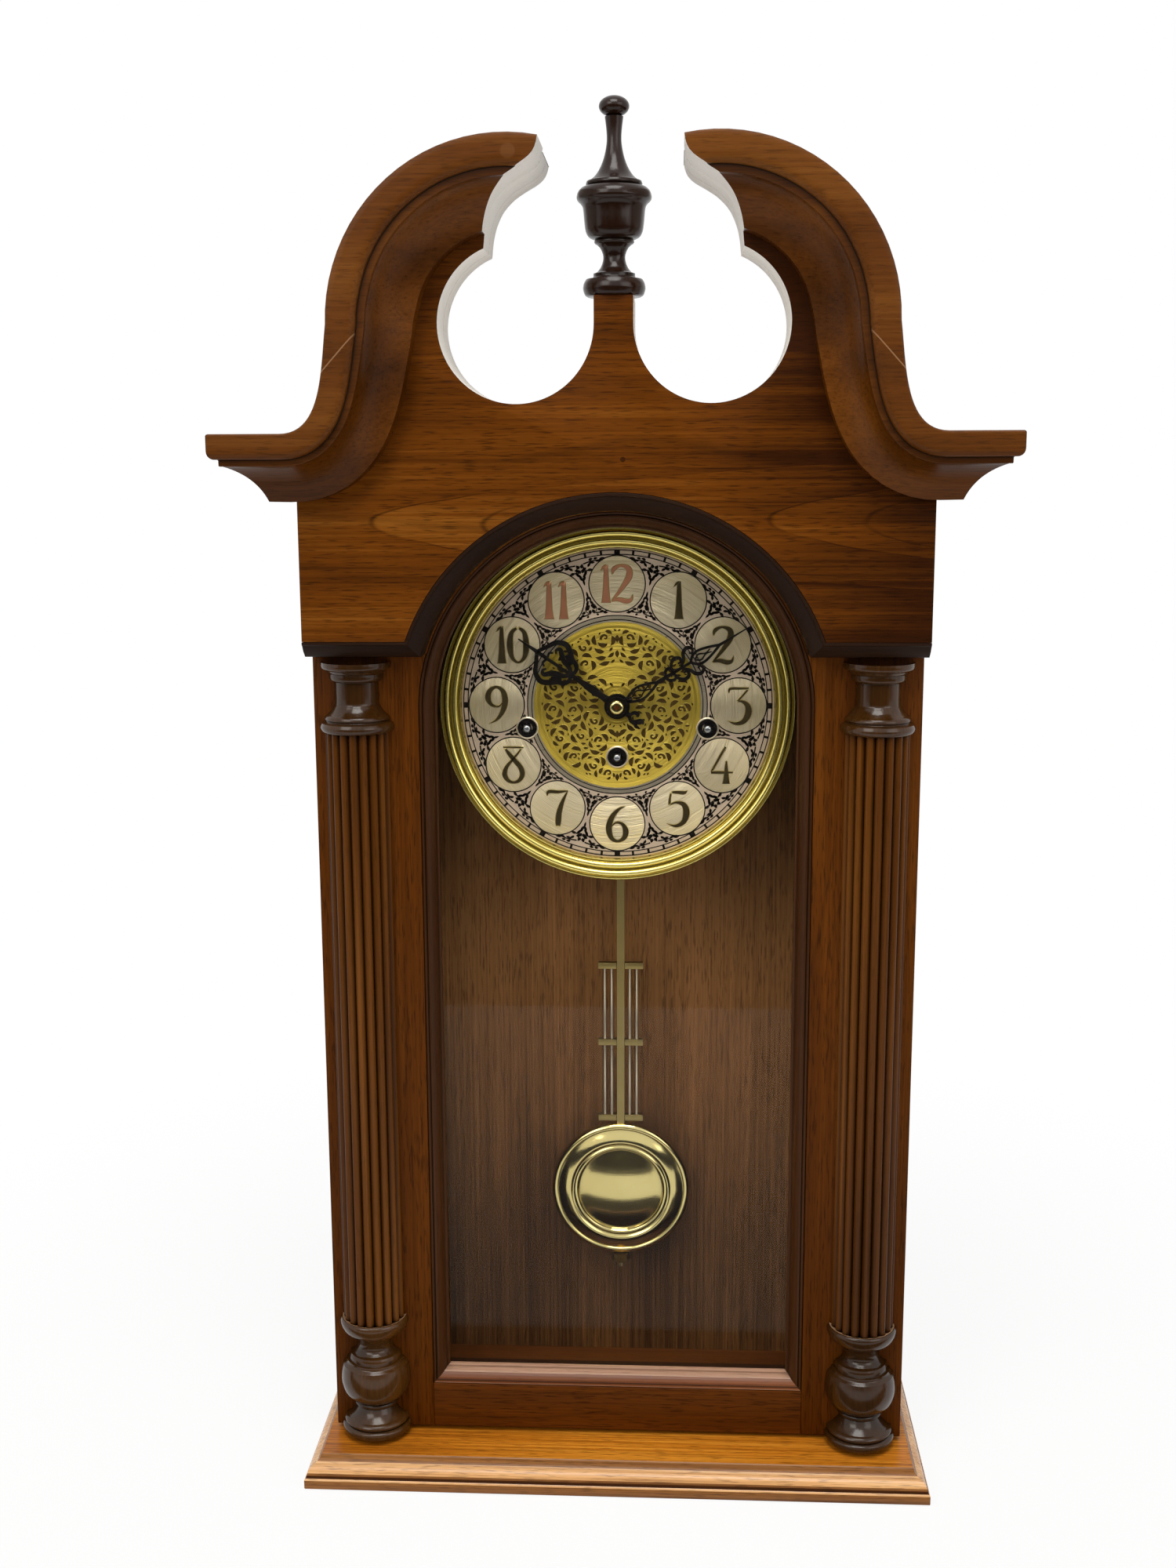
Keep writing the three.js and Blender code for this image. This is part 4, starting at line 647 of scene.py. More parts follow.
def turn(bm, profile, centre, axis, steps, angle=2 * pi):
    verts = [bm.verts.new(p) for p in profile]
    edges = [bm.edges.new(pair) for pair in zip(verts, verts[1:])]
    bmesh.ops.spin(
        bm, geom=verts + edges, cent=centre, axis=axis, dvec=(0, 0, 0), angle=angle, steps=steps,
        use_merge=abs(angle - 2 * pi) < 0.001, use_duplicate=False,
    )
    bmesh.ops.remove_doubles(bm, verts=bm.verts, dist=mergeGap)


# Adds a part that was made on its own, so that merging stays inside it
def joinPart(bm, part):
    held = bpy.data.meshes.new("joinedPart")
    part.to_mesh(held)
    part.free()
    bm.from_mesh(held)
    bpy.data.meshes.remove(held)


def turnPart(bm, profile, centre, steps):
    part = bmesh.new()
    turn(part, profile, centre, (0, 1, 0), steps)
    joinPart(bm, part)


def bevelEdges(bm, edges, width):
    bmesh.ops.bevel(
        bm, geom=edges, offset=width, offset_type="OFFSET", affect="EDGES", segments=2, profile=0.5,
        material=-1, clamp_overlap=True,
    )


def sharpEdges(bm, angle):
    return [e for e in bm.edges if len(e.link_faces) == 2 and e.calc_face_angle(0) > radians(angle)]


# Puts a finished mesh in the frame, on its body
def finishPiece(bm, name, body, looks, replaced=(), pick=None, sheet=False, crease=32):
    bmesh.ops.remove_doubles(bm, verts=bm.verts, dist=mergeGap)
    bmesh.ops.dissolve_degenerate(bm, edges=bm.edges, dist=mergeGap)
    if sheet:
        bm.normal_update()
        bmesh.ops.reverse_faces(bm, faces=[f for f in bm.faces if f.normal.y > 0.001])
    else:
        bmesh.ops.recalc_face_normals(bm, faces=bm.faces)
    bm.normal_update()
    if pick:
        for face in bm.faces:
            face.material_index = pick(face)
    bm.transform(toFrame)
    mesh = bpy.data.meshes.new(name)
    bm.to_mesh(mesh)
    bm.free()
    mesh.shade_smooth()
    mesh.set_sharp_from_angle(angle=radians(crease))
    for look in looks:
        mesh.materials.append(finish[look])
    piece = bpy.data.objects.new(name, mesh)
    scene.collection.objects.link(piece)
    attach(piece, body)
    if replaced:
        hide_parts(*replaced)
    return piece


# A merged copy of a CAD node with its arrises softened
softening = dict(merge=0.002, flat=0.6, sharp=25)


def softenNode(node, body, looks, width, pick=None):
    bm = bmesh.new()
    bm.from_mesh(cadNodes[node].data)
    bm.transform(toBench)
    bmesh.ops.remove_doubles(bm, verts=bm.verts, dist=softening["merge"])
    bmesh.ops.dissolve_limit(bm, angle_limit=radians(softening["flat"]), verts=bm.verts, edges=bm.edges)
    bevelEdges(bm, sharpEdges(bm, softening["sharp"]), width)
    return finishPiece(bm, node + "_softened", body, looks, [node], pick=pick)


# Case boards and face frame: body, finish and how wide the arrises are rounded
boardSoftening = {
    "left_side_panel": ("case", "cherryUpright", 0.8), "right_side_panel": ("case", "cherryUpright", 0.8),
    "top_panel": ("case", "cherryFront", 0.8), "left_stile": ("door", "cherryUpright", 0.7),
    "right_stile": ("door", "cherryUpright", 0.7), "bottom_rail": ("door", "cherryRail", 0.7),
}
for node, (body, look, width) in boardSoftening.items():
    softenNode(node, body, [look], width)

plinth = dict(
    half=190.0, front=-38.0, back=114.0, fascia=7.0, quirk=1.6, height=19.0, steps=14,
    inside=163.0, insideFront=19.2, ogeeHighlight=(0.8, 1.0), edgeHighlight=(-1.3, -0.1),
)
# Inset and height of the foot, then of the fascia's top edge and the quirk over it, from the fascia's height
plinthFoot = [(0.9, 0.0), (0.25, 0.3), (0.0, 1.0)]
plinthEdge = [(0.0, -1.2), (0.25, -0.5), (0.7, -0.1), (1.3, 0.0), (1.5, 0.4), (1.3, 0.9), (1.5, 1.5)]
# Inset and height of the ogee's handles, from its middle, and of its nose, from the top
ogeeHandles = [(1.9, 0.9), (8.0, -0.8)]
plinthNose = [(8.8, -1.4), (9.0, -0.5), (9.6, 0.0)]


def makePlinth():
    p = plinth
    foot = p["fascia"] + p["quirk"]
    middle = (foot + p["height"]) / 2
    line = plinthFoot + [(inset, p["fascia"] + z) for inset, z in plinthEdge]
    handles = [(inset, middle + z) for inset, z in ogeeHandles]
    nose = [(inset, p["height"] + z) for inset, z in plinthNose]
    line += bezier((p["quirk"], foot), *handles, nose[0], p["steps"])[1:] + nose[1:]
    bm = bmesh.new()
    rings = []
    for inset, z in line:
        x = p["half"] - inset
        y = p["front"] + inset
        rings.append([(-x, y, z), (x, y, z), (x, p["back"], z), (-x, p["back"], z)])
    sweepClosed(bm, rings)
    bmesh.ops.recalc_face_normals(bm, faces=bm.faces)
    bm.normal_update()
    cuts = [((side * p["inside"], 0, 0), (1, 0, 0)) for side in (-1, 1)]
    for spot, normal in cuts + [((0, p["insideFront"], 0), (0, 1, 0))]:
        top = [f for f in bm.faces if f.normal.z > 0.9 and f.calc_center_median().z > p["height"] - 0.1]
        edges = list({e for f in top for e in f.edges})
        corners = list({v for f in top for v in f.verts})
        bmesh.ops.bisect_plane(bm, geom=corners + edges + top, plane_co=spot, plane_no=normal)
        bm.normal_update()

    # The top in front of the case takes the top look, its own orange tone partly lightened as painted light
    # from above; the top inside the case and the quirk take painted shade, and the ogee's band and the
    # fascia's edge a painted highlight
    def plinthPart(face):
        c = face.calc_center_median()
        if face.normal.z >= 0.9 and c.z >= p["height"] - 0.5:
            return 2 if abs(c.x) < p["inside"] and c.y > p["insideFront"] else 1
        if p["fascia"] + p["edgeHighlight"][1] < c.z < foot:
            return 2
        onOgee = foot + p["ogeeHighlight"][0] < c.z < middle + p["ogeeHighlight"][1]
        onEdge = p["edgeHighlight"][0] < c.z - p["fascia"] < p["edgeHighlight"][1]
        return 3 if onOgee or onEdge else 0

    looks = ["plinthWood", "plinthTopLitWood", "plinthQuirkShadeWood", "plinthOgeeHighlightWood"]
    return finishPiece(
        bm, "plinth_moulded", "case", looks, ["base_plinth"], pick=plinthPart, crease=28
    )


makePlinth()
print("case boards and plinth made")

# Pediment
pediment = dict(
    caseHalf=176.0, crownTop=633.0, swanX=55.0, swanZ=688.8, swanRadius=94.6, topX=37.5, flare=3.2,
    lift=4.0, eyeX=53.3, eyeZ=691.6, eyeRadius=42.6, neckTop=706.2, archZ=476.0, front=-27.0, rear=19.0,
    cusp=(69.94, 730.8), inset=2.0, paleLow=729.8, paleTop=779.5, paleWide=70.44, eyeNear=0.9, arris=0.5,
    steps=24, eyeSteps=64, archSteps=72,
)
# S-curve of a scroll's cut end, from its top to the cusp
scrollEnd = [
    (37.5, 781.8), (38.2, 777.6), (40.2, 773.4), (44.2, 769.9), (50.5, 766.3), (57.2, 761.8), (63.0, 755.6),
    (66.8, 748.0), (68.9, 740.0), (69.94, 730.8),
]
# Front board and the board behind it: front, back, radius of the arch, lower edge
pedimentBoards = {
    "pediment_board": (-27.0, -0.3, 125.3, 518.8),
    "pediment_backing": (0.0, 19.0, 114.4, 509.5),
}


def swanLine(inset, steps):
    p = pediment
    radius = p["swanRadius"] - inset
    top = p["crownTop"] - inset
    waist = p["swanX"] + radius
    bend = bezier(
        (-(p["caseHalf"] - inset), top), (-(waist + p["flare"]), top),
        (-(waist + p["flare"]), (top + p["swanZ"]) / 2 + p["lift"]), (-waist, p["swanZ"]), steps,
    )
    end = 180 - acos((p["topX"] - p["swanX"]) / radius) * 180 / pi
    return bend, arc(-p["swanX"], p["swanZ"], radius, 180, end, steps)


def ogeeLine():
    return [(-x, z) for x, z in smoothLine(scrollEnd, 8)]


# Painted reflection of the white surroundings on the sawn faces round the eyes and the scroll ends
def onCut(face):
    p = pediment
    c = face.calc_center_median()
    if abs(face.normal.y) > 0.5:
        return 0
    x = abs(c.x)
    eyeGap = abs(hypot(x - p["eyeX"], c.z - p["eyeZ"]) - p["eyeRadius"])
    onScroll = p["paleLow"] < c.z < p["paleTop"] and x < p["paleWide"]
    return 1 if eyeGap < p["eyeNear"] or onScroll else 0


def makePedimentBoard(node, front, back, archRadius, low):
    p = pediment
    bend, scroll = swanLine(p["inset"], p["steps"])
    inner = p["swanRadius"] - p["inset"]
    ogee = [q for q in ogeeLine() if hypot(q[0] + p["swanX"], q[1] - p["swanZ"]) < inner]
    start = atan2(p["cusp"][1] - p["eyeZ"], p["eyeX"] - p["cusp"][0]) * 180 / pi
    eye = arc(-p["eyeX"], p["eyeZ"], p["eyeRadius"], start, 360, p["eyeSteps"])
    neck = [(-(p["eyeX"] - p["eyeRadius"]), p["neckTop"])]
    half = [(-p["caseHalf"], low), (-p["caseHalf"], p["crownTop"] - p["inset"])]
    half += bend + scroll[1:] + ogee[:-1] + eye + neck
    spring = asin((low - p["archZ"]) / archRadius) * 180 / pi
    arch = arc(0, p["archZ"], archRadius, spring, 180 - spring, p["archSteps"])
    outline = half + [(-x, z) for x, z in reversed(half)] + arch
    bm = bmesh.new()
    face = bm.faces.new([bm.verts.new((x, front, z)) for x, z in outline])
    out = bmesh.ops.extrude_face_region(bm, geom=[face])["geom"]
    moved = [v for v in out if isinstance(v, bmesh.types.BMVert)]
    bmesh.ops.translate(bm, verts=moved, vec=(0, back - front, 0))
    bmesh.ops.remove_doubles(bm, verts=bm.verts, dist=softening["merge"])
    bmesh.ops.recalc_face_normals(bm, faces=bm.faces)
    bm.normal_update()
    rim = [e for e in sharpEdges(bm, 30) if all(v.co.y < front + 0.01 for v in e.verts)]
    bevelEdges(bm, rim, p["arris"])
    looks = ["cherryFront", "cutEdgeReflection"]
    return finishPiece(bm, node + "_sawn", "door", looks, [node], pick=onCut, crease=30)


for node, boardSizes in pedimentBoards.items():
    makePedimentBoard(node, *boardSizes)

# Crown moulding: it swells along the scroll, and its parts are told by how far they reach out
# Fascia, painted white reflection on cut ends, cove and quirk in painted shade
crownLooks = ["cherryCrown", "cutEdgeReflection", "crownCoveShadeWood", "quirkShadeWood"]
crown = dict(
    swell=0.2, swellFrom=0.1, swellTo=0.5, reach=39.0, run=44, fasciaReach=34.6, quirkReach=33.9,
    returnGap=0.3, cutNear=0.8, cutFacing=0.6, flatDepth=15, endFacing=0.99,
)
cove = dict(drop=17.0, reach=32.0, down=19.0, back=19.8, hollow=3.1, steps=14)
# Fascia and quirk: drop from the top edge and reach out from the pediment
crownEdge = [
    (0.0, 37.9), (0.3, 38.6), (1.0, 39.0), (3.0, 39.0), (5.0, 39.0), (7.0, 39.0), (9.0, 39.0),
    (10.4, 38.85), (11.6, 38.4), (12.6, 37.6), (13.2, 36.6), (13.4, 35.9), (13.45, 34.3), (13.8, 33.85),
    (16.6, 33.8), (16.95, 33.5), (17.0, 32.7),
]


def crownSection():
    line = list(crownEdge)
    for i in range(cove["steps"] + 1):
        t = i / cove["steps"]
        hollow = 4 * cove["hollow"] * t * (1 - t) / hypot(cove["down"], cove["back"])
        drop = cove["drop"] + cove["down"] * t - cove["back"] * hollow
        line.append((drop, cove["reach"] - cove["back"] * t - cove["down"] * hollow))
    return line


# One ring round the section at each place along the moulding, with flat ends
def sweepCrown(place, count):
    section = crownSection()
    rings = []
    for i in range(count):
        fore = [place(i, drop, reach) for drop, reach in section]
        rear = [place(i, drop, 0.0) for drop, _ in reversed(section)]
        rings.append(fore + rear)
    bm = bmesh.new()
    sweepClosed(bm, rings, capped=False)
    half = len(section)
    for ring in (rings[0], rings[-1]):
        layGrid(bm, [ring[:half], list(reversed(ring[half:]))])
    bmesh.ops.remove_doubles(bm, verts=bm.verts, dist=mergeGap)
    return bm


# Fascia, quirk or cove; the quirk and the cove are darker as painted shade under the fascia
def crownPart(reach):
    if reach > crown["fasciaReach"]:
        return 0
    return 3 if reach > crown["quirkReach"] else 2


def finishCrown(bm, name, pick):
    return finishPiece(
        bm, name + "_moulded", "door", crownLooks, [name], pick=pick, crease=26
    )


def makeSwanNeck(side, name):
    p = pediment
    bend, scroll = swanLine(0.0, crown["run"] // 2)
    path = [(-p["caseHalf"] - crown["reach"], p["crownTop"])] + bend + scroll[1:]
    lengths = [0.0]
    for a, b in zip(path, path[1:]):
        lengths.append(lengths[-1] + hypot(b[0] - a[0], b[1] - a[1]))
    endLine = ogeeLine()
    ogee = [(x + p["swanX"], z - p["swanZ"]) for x, z in endLine]
    bendEnd = len(bend)

    def endAngle(radius):
        for (x, z), (x2, z2) in zip(ogee, ogee[1:]):
            near = hypot(x, z)
            far = hypot(x2, z2)
            if near >= radius >= far:
                t = (near - radius) / (near - far)
                return atan2(z + (z2 - z) * t, x + (x2 - x) * t)
        return atan2(ogee[0][1], ogee[0][0])

    def swellAt(i):
        t = (lengths[i] / lengths[-1] - crown["swellFrom"]) / (crown["swellTo"] - crown["swellFrom"])
        t = min(1.0, max(0.0, t))
        return 1 + crown["swell"] * t * t * (3 - 2 * t)

    def place(i, drop, reach):
        fall = drop * swellAt(i)
        y = p["front"] - reach
        if i == 0:
            return (side * (p["caseHalf"] + reach), y, p["crownTop"] - drop)
        if i <= bendEnd:
            a = path[max(1, i - 1)]
            b = path[min(len(path) - 1, i + 1)]
            span = hypot(b[0] - a[0], b[1] - a[1])
            normal = (0.0, -1.0) if i == 1 else ((b[1] - a[1]) / span, -(b[0] - a[0]) / span)
            return (-side * (path[i][0] + normal[0] * fall), y, path[i][1] + normal[1] * fall)
        share = (i - bendEnd) / (len(path) - 1 - bendEnd)
        radius = p["swanRadius"] - fall
        angle = pi + (endAngle(radius) - pi) * share
        return (-side * (-p["swanX"] + radius * cos(angle)), y, p["swanZ"] + radius * sin(angle))

    # The cut end takes the painted white reflection, and the top and bottom are as the fascia
    def swanPart(face):
        c = face.calc_center_median()
        apart = min(hypot(abs(c.x) + x, c.z - z) for x, z in endLine)
        if apart < crown["cutNear"] and abs(face.normal.y) < crown["cutFacing"]:
            return 1
        depths = [v.co.y for v in face.verts]
        if max(depths) - min(depths) > crown["flatDepth"] and abs(face.normal.x) < crown["endFacing"]:
            return 0
        return crownPart(p["front"] - c.y)

    return finishCrown(sweepCrown(place, len(path)), name, swanPart)


def makeReturn(side, name):
    p = pediment
    wall = p["caseHalf"] + crown["returnGap"]

    def place(i, drop, reach):
        y = p["front"] - reach if i == 0 else p["rear"]
        return (side * (wall + reach), y, p["crownTop"] - drop)

    def returnPart(face):
        if abs(face.normal.y) > 0.9 or face.normal.z > 0.9:
            return 0
        return crownPart(abs(face.calc_center_median().x) - wall)

    return finishCrown(sweepCrown(place, 2), name, returnPart)


for side, hand in ((-1, "left"), (1, "right")):
    makeSwanNeck(side, "swan_neck_" + hand)
for side, hand in ((-1, "left"), (1, "right")):
    makeReturn(side, "cornice_return_" + hand)

# Dark chamfered trim under the hood and round the arch
hoodTrim = dict(
    half=176.0, low=509.5, high=518.5, inner=115.0, outer=125.0, archZ=476.0, front=-27.0, run=8, steps=96,
)
hoodTrimSection = [
    (0.0, 0.0), (0.03, -0.3), (0.16, -0.3), (0.2, 0.4), (0.26, 0.9), (0.6, 3.4), (0.9, 6.8), (0.97, 7.6),
    (1.0, 8.5), (1.0, 26.7), (0.0, 26.7),
]


def makeHoodTrim():
    t = hoodTrim

    def rail(radius, level):
        spring = asin((level - t["archZ"]) / radius) * 180 / pi
        arch = arc(0, t["archZ"], radius, 180 - spring, spring, t["steps"])
        left = [(-t["half"], level), (arch[0][0] - t["run"], level)]
        return left + arch + [(arch[-1][0] + t["run"], level), (t["half"], level)]

    bm = bmesh.new()
    rings = railRings(rail(t["outer"], t["high"]), rail(t["inner"], t["low"]), hoodTrimSection, t["front"])
    sweepClosed(bm, rings)
    return finishPiece(bm, "hood_trim", "door", ["hoodTrimWood"], ["hood_edge_trim"], crease=24)


makeHoodTrim()

# Bead that frames the glass; along its upward-facing foot the lip and the shoulder take a painted highlight,
# and the face between them is painted lighter than the sides as lit from above
glassBead = dict(
    outer=114.4, inner=105.0, low=51.3, archZ=476.0, steps=96, lip=0.9, shoulder=5.8, footTop=70.0,
)
beadSection = [
    (0.0, 1.0), (0.02, 0.3), (0.08, 0.0), (0.15, 0.25), (0.17, 1.3), (0.21, 1.5), (0.25, 0.9), (0.36, 1.0),
    (0.5, 1.9), (0.64, 3.5), (0.75, 5.3), (0.8, 6.6), (0.82, 7.4), (0.9, 7.4), (0.98, 7.9), (1.0, 8.6),
    (1.0, 9.7), (0.0, 9.7),
]


def makeBead():
    g = glassBead

    def rail(half, low):
        arch = arc(0, g["archZ"], half, 0, 180, g["steps"])
        return [(-half, low), (half, low)] + arch + [(-half, low)]

    outer = rail(g["outer"], g["low"])
    inner = rail(g["inner"], g["low"] + g["outer"] - g["inner"])
    bm = bmesh.new()
    sweepClosed(bm, railRings(outer, inner, beadSection, 0.0), capped=False)

    def beadPart(face):
        c = face.calc_center_median()
        rise = c.z - g["low"]
        if rise > g["outer"] - abs(c.x) + 0.01 or c.z > g["footTop"]:
            return 0
        # Painted highlight on the lip and the shoulder, painted light on the face between
        return 2 if g["lip"] < rise < g["shoulder"] else 1

    looks = ["beadWood", "beadFootHighlightWood", "beadFootLitWood"]
    return finishPiece(
        bm, "bead_moulded", "door", looks, ["glass_bead"], pick=beadPart, crease=26
    )


makeBead()
print("pediment, crown, trim and bead made")

# Turned finial, as runs that meet at its crisp steps: radius and height above the neck
finial = dict(y=-13.5, z=706.2, steps=72, ball=8.2, ballHalf=5.5, ballRise=98.7)
finialRuns = [
    [(14.6, 0.0), (16.0, 1.0), (16.9, 3.4), (17.0, 5.2), (16.5, 7.4), (15.4, 9.2)],
    [(12.4, 9.6), (11.6, 10.2), (11.4, 11.0), (11.4, 12.2)],
    [(9.6, 12.8), (7.5, 15.4), (6.2, 18.8), (6.1, 22.0), (7.5, 25.4), (9.4, 27.4)],
    [(10.3, 27.8), (10.9, 28.8), (10.5, 30.0)],
    [(11.8, 30.3), (14.0, 31.6), (15.5, 34.4), (16.2, 39.0), (16.7, 44.6), (17.2, 47.2), (18.4, 49.0)],
    [(19.2, 49.6), (20.1, 50.8), (20.3, 52.4), (19.6, 54.8), (18.0, 56.6), (16.6, 57.3)],
    [(14.7, 57.6), (15.3, 58.7), (14.9, 60.2)],
    [(13.2, 60.7), (10.2, 63.4), (7.6, 67.4), (5.6, 72.4), (4.4, 77.6), (3.95, 82.0), (4.2, 87.0),
     (5.0, 93.4)],
]


def makeFinial():
    f = finial
    line = [(0.0, 0.0)] + runsLine(finialRuns)
    for a in range(-66, 91, 6):
        line.append((f["ball"] * cos(radians(a)), f["ballRise"] + f["ballHalf"] * sin(radians(a))))
    bm = bmesh.new()
    turn(bm, [(r, f["y"], f["z"] + z) for r, z in line], (0, f["y"], 0), (0, 0, 1), f["steps"])
    return finishPiece(bm, "finial_turned", "door", ["finialWood"], ["finial"], crease=40)


makeFinial()

# Reeded half columns with turned capitals and bases, whose runs give radius beyond the shaft's and height
column = dict(
    x=150.5, radius=18.9, reeds=9, perReed=10, depth=2.8, low=91.0, high=464.0, base=22.0, steps=40,
    lip=96.6, lipHalf=1.6, lipReach=0.9, lipFacing=0.3, reedLeast=100, flat=-0.05,
)
capitalRuns = [
    [(0.0, 0.0), (1.7, 0.6), (2.6, 2.2), (2.7, 3.8), (2.0, 5.6)],
    [(0.8, 6.2), (-0.2, 6.8), (0.3, 8.2), (-0.4, 9.8)],
    [(-1.4, 10.4), (-3.8, 13.0), (-5.4, 15.6), (-6.0, 18.0), (-6.0, 29.4)],
    [(-4.6, 29.8), (-3.4, 30.8), (-3.1, 32.4), (-3.2, 34.2)],
    [(-2.2, 34.8), (-1.2, 36.2)],
    [(0.2, 36.6), (1.3, 37.6), (1.6, 39.0), (1.5, 41.0)],
]
baseRuns = [
    [(0.8, 0.0), (2.1, 0.8), (2.7, 2.6), (2.3, 4.6), (0.9, 5.6)],
    [(0.3, 5.9), (1.2, 6.8), (1.3, 8.0), (0.4, 9.2)],
    [(-1.0, 9.6), (-3.2, 11.4), (-5.4, 13.8), (-6.8, 16.4)],
    [(-6.0, 16.9), (-4.9, 18.2), (-5.0, 19.6), (-6.0, 20.6)],
    [(-5.0, 21.0), (-2.0, 22.8), (0.8, 26.0), (2.2, 30.0), (2.8, 34.6), (2.4, 40.0), (1.4, 44.6)],
    [(0.6, 45.2), (-0.6, 46.2), (-1.0, 47.8)],
    [(-2.4, 48.2), (-2.7, 50.2), (-3.4, 52.0)],
    [(-4.8, 52.4), (-7.0, 54.6), (-7.7, 57.0), (-7.0, 60.0), (-4.6, 63.2), (-2.0, 65.6)],
    [(-1.0, 66.2), (0.8, 68.0), (2.0, 71.0), (2.3, 73.6), (1.6, 75.4), (0.9, 75.8)],
    [(0.5, 75.7), (-1.4, 74.9), (-3.6, 74.0)],
]


def makeColumn(side, name):
    c = column
    cx = side * c["x"]
    count = c["reeds"] * c["perReed"]
    outline = []
    for i in range(count + 1):
        u = (i % c["perReed"]) / c["perReed"]
        outline.append((radians(180 + 180 * i / count), c["radius"] - c["depth"] * (2 * u - 1) ** 2))
    ends = (c["low"], c["high"])
    rings = [[(cx + r * cos(a), r * sin(a) + c["flat"], z) for a, r in outline] for z in ends]
    bm = bmesh.new()
    sweepClosed(bm, rings)
    for foot, runs in ((c["high"], capitalRuns), (c["base"], baseRuns)):
        line = runsLine(runs)
        profile = [(cx, c["flat"], foot + line[0][1])]
        profile += [(cx - c["radius"] - r, c["flat"], foot + z) for r, z in line]
        part = bmesh.new()
        turn(part, profile, (cx, c["flat"], 0), (0, 0, 1), c["steps"], pi)
        bmesh.ops.recalc_face_normals(part, faces=part.faces)
        joinPart(bm, part)

    # Reeds, turned ends, and the worn lip that the reeds stand in
    def columnPart(face):
        middle = face.calc_center_median()
        heights = [v.co.z for v in face.verts]
        if max(heights) - min(heights) > c["reedLeast"]:
            return 0
        inner = hypot(middle.x - cx, middle.y) < c["radius"] + c["lipReach"]
        level = abs(middle.z - c["lip"]) < c["lipHalf"]
        return 2 if inner and level and face.normal.z > c["lipFacing"] else 1

    looks = ["reedWood", "turnedWood", "wornLipWood"]
    return finishPiece(bm, name + "_turned", "door", looks, [name], pick=columnPart, crease=38)


makeColumn(-1, "column_left")
makeColumn(1, "column_right")
print("finial and columns made")

# Dial, centred on the arch; its bezel is turned to radius and depth, with grooves between its beads painted
# dark as shade
dialZ = 476.0
bezel = dict(steps=160, grooves=[(103.4, 104.1), (98.4, 99.5), (94.0, 94.8)])
bezelLine = [
    (105.4, 27.5), (105.4, 23.0), (105.2, 22.2), (104.7, 21.7), (104.2, 21.8), (104.0, 22.4), (103.6, 22.5),
    (103.3, 22.0), (102.6, 21.4), (101.6, 21.0), (100.6, 21.2), (99.9, 21.8), (99.6, 22.6), (99.2, 23.1),
    (98.6, 23.1), (98.3, 22.7), (97.8, 22.2), (97.0, 21.9), (96.0, 22.0), (95.3, 22.6), (94.9, 23.4),
    (94.5, 24.0), (94.1, 24.0), (93.8, 23.7), (93.3, 23.7), (92.9, 24.3), (92.6, 26.9), (95.0, 27.5),
]


def dialRadius(face):
    c = face.calc_center_median()
    return hypot(c.x, c.z - dialZ)


def makeBezel():
    bm = bmesh.new()
    turn(bm, [(r, y, dialZ) for r, y in bezelLine + bezelLine[:1]], (0, 0, dialZ), (0, 1, 0), bezel["steps"])

    def groove(face):
        return 1 if any(low < dialRadius(face) < high for low, high in bezel["grooves"]) else 0

    looks = ["giltBezel", "grooveShadeOlive"]
    return finishPiece(bm, "bezel_turned", "case", looks, ["bezel"], pick=groove, crease=50)


makeBezel()


def ringOn(bm, inner, outer, y, steps=128, cx=0.0, cz=dialZ):
    turnPart(bm, [(cx + inner, y, cz), (cx + outer, y, cz)], (cx, 0, cz), steps)


# A tapered stroke in the dial's plane; each point is across, up and width
leastStroke = dict(half=0.02, shoulderShare=0.2)


def stroke(bm, line, y, lift=0.0, edge=0.0, origin=(0.0, 0.0), turned=0.0, thick=0.0):
    co = cos(turned)
    si = sin(turned)
    rings = []
    for i, (u, v, w) in enumerate(line):
        a = line[max(0, i - 1)]
        b = line[min(len(line) - 1, i + 1)]
        span = hypot(b[0] - a[0], b[1] - a[1]) or 1.0
        nu = -(b[1] - a[1]) / span
        nv = (b[0] - a[0]) / span
        half = max(w / 2, leastStroke["half"])
        shoulder = max(half - edge, half * leastStroke["shoulderShare"])
        if thick:
            corners = [(-half, y), (half, y), (half, y + thick), (-half, y + thick), (-half, y)]
        elif lift:
            top = y if i in (0, len(line) - 1) else y - lift
            corners = [(-half, y), (-shoulder, top), (shoulder, top), (half, y)]
        else:
            corners = [(-half, y), (half, y)]
        ring = []
        for offset, depth in corners:
            pu = u + nu * offset
            pv = v + nv * offset
            ring.append((origin[0] + pu * co - pv * si, depth, dialZ + origin[1] + pu * si + pv * co))
        rings.append(ring)
    layGrid(bm, rings)


# Chapter ring; y is the depth of a face, and a smaller one stands further forward
chapter = dict(
    cartouche=16.3, middle=71.8, outline=0.6, trackIn=88.6, trackOut=91.8, trackLine=0.6, steps=72,
    plateY=26.86, plateEdge=0.3, plateRim=27.0, printY=26.84, overlap=0.05, hourWidth=3.4, minuteWidth=1.4,
    ringLift=0.1, markLift=0.01,
)
# Silver rings round the gilt centre: inner and outer radius and depth
silverRings = [(49.6, 50.5, 26.5), (50.9, 53.0, 26.82)]


# Across and up from the dial's middle
def hourPlace(hour):
    a = radians(30 * hour)
    return chapter["middle"] * sin(a), chapter["middle"] * cos(a)


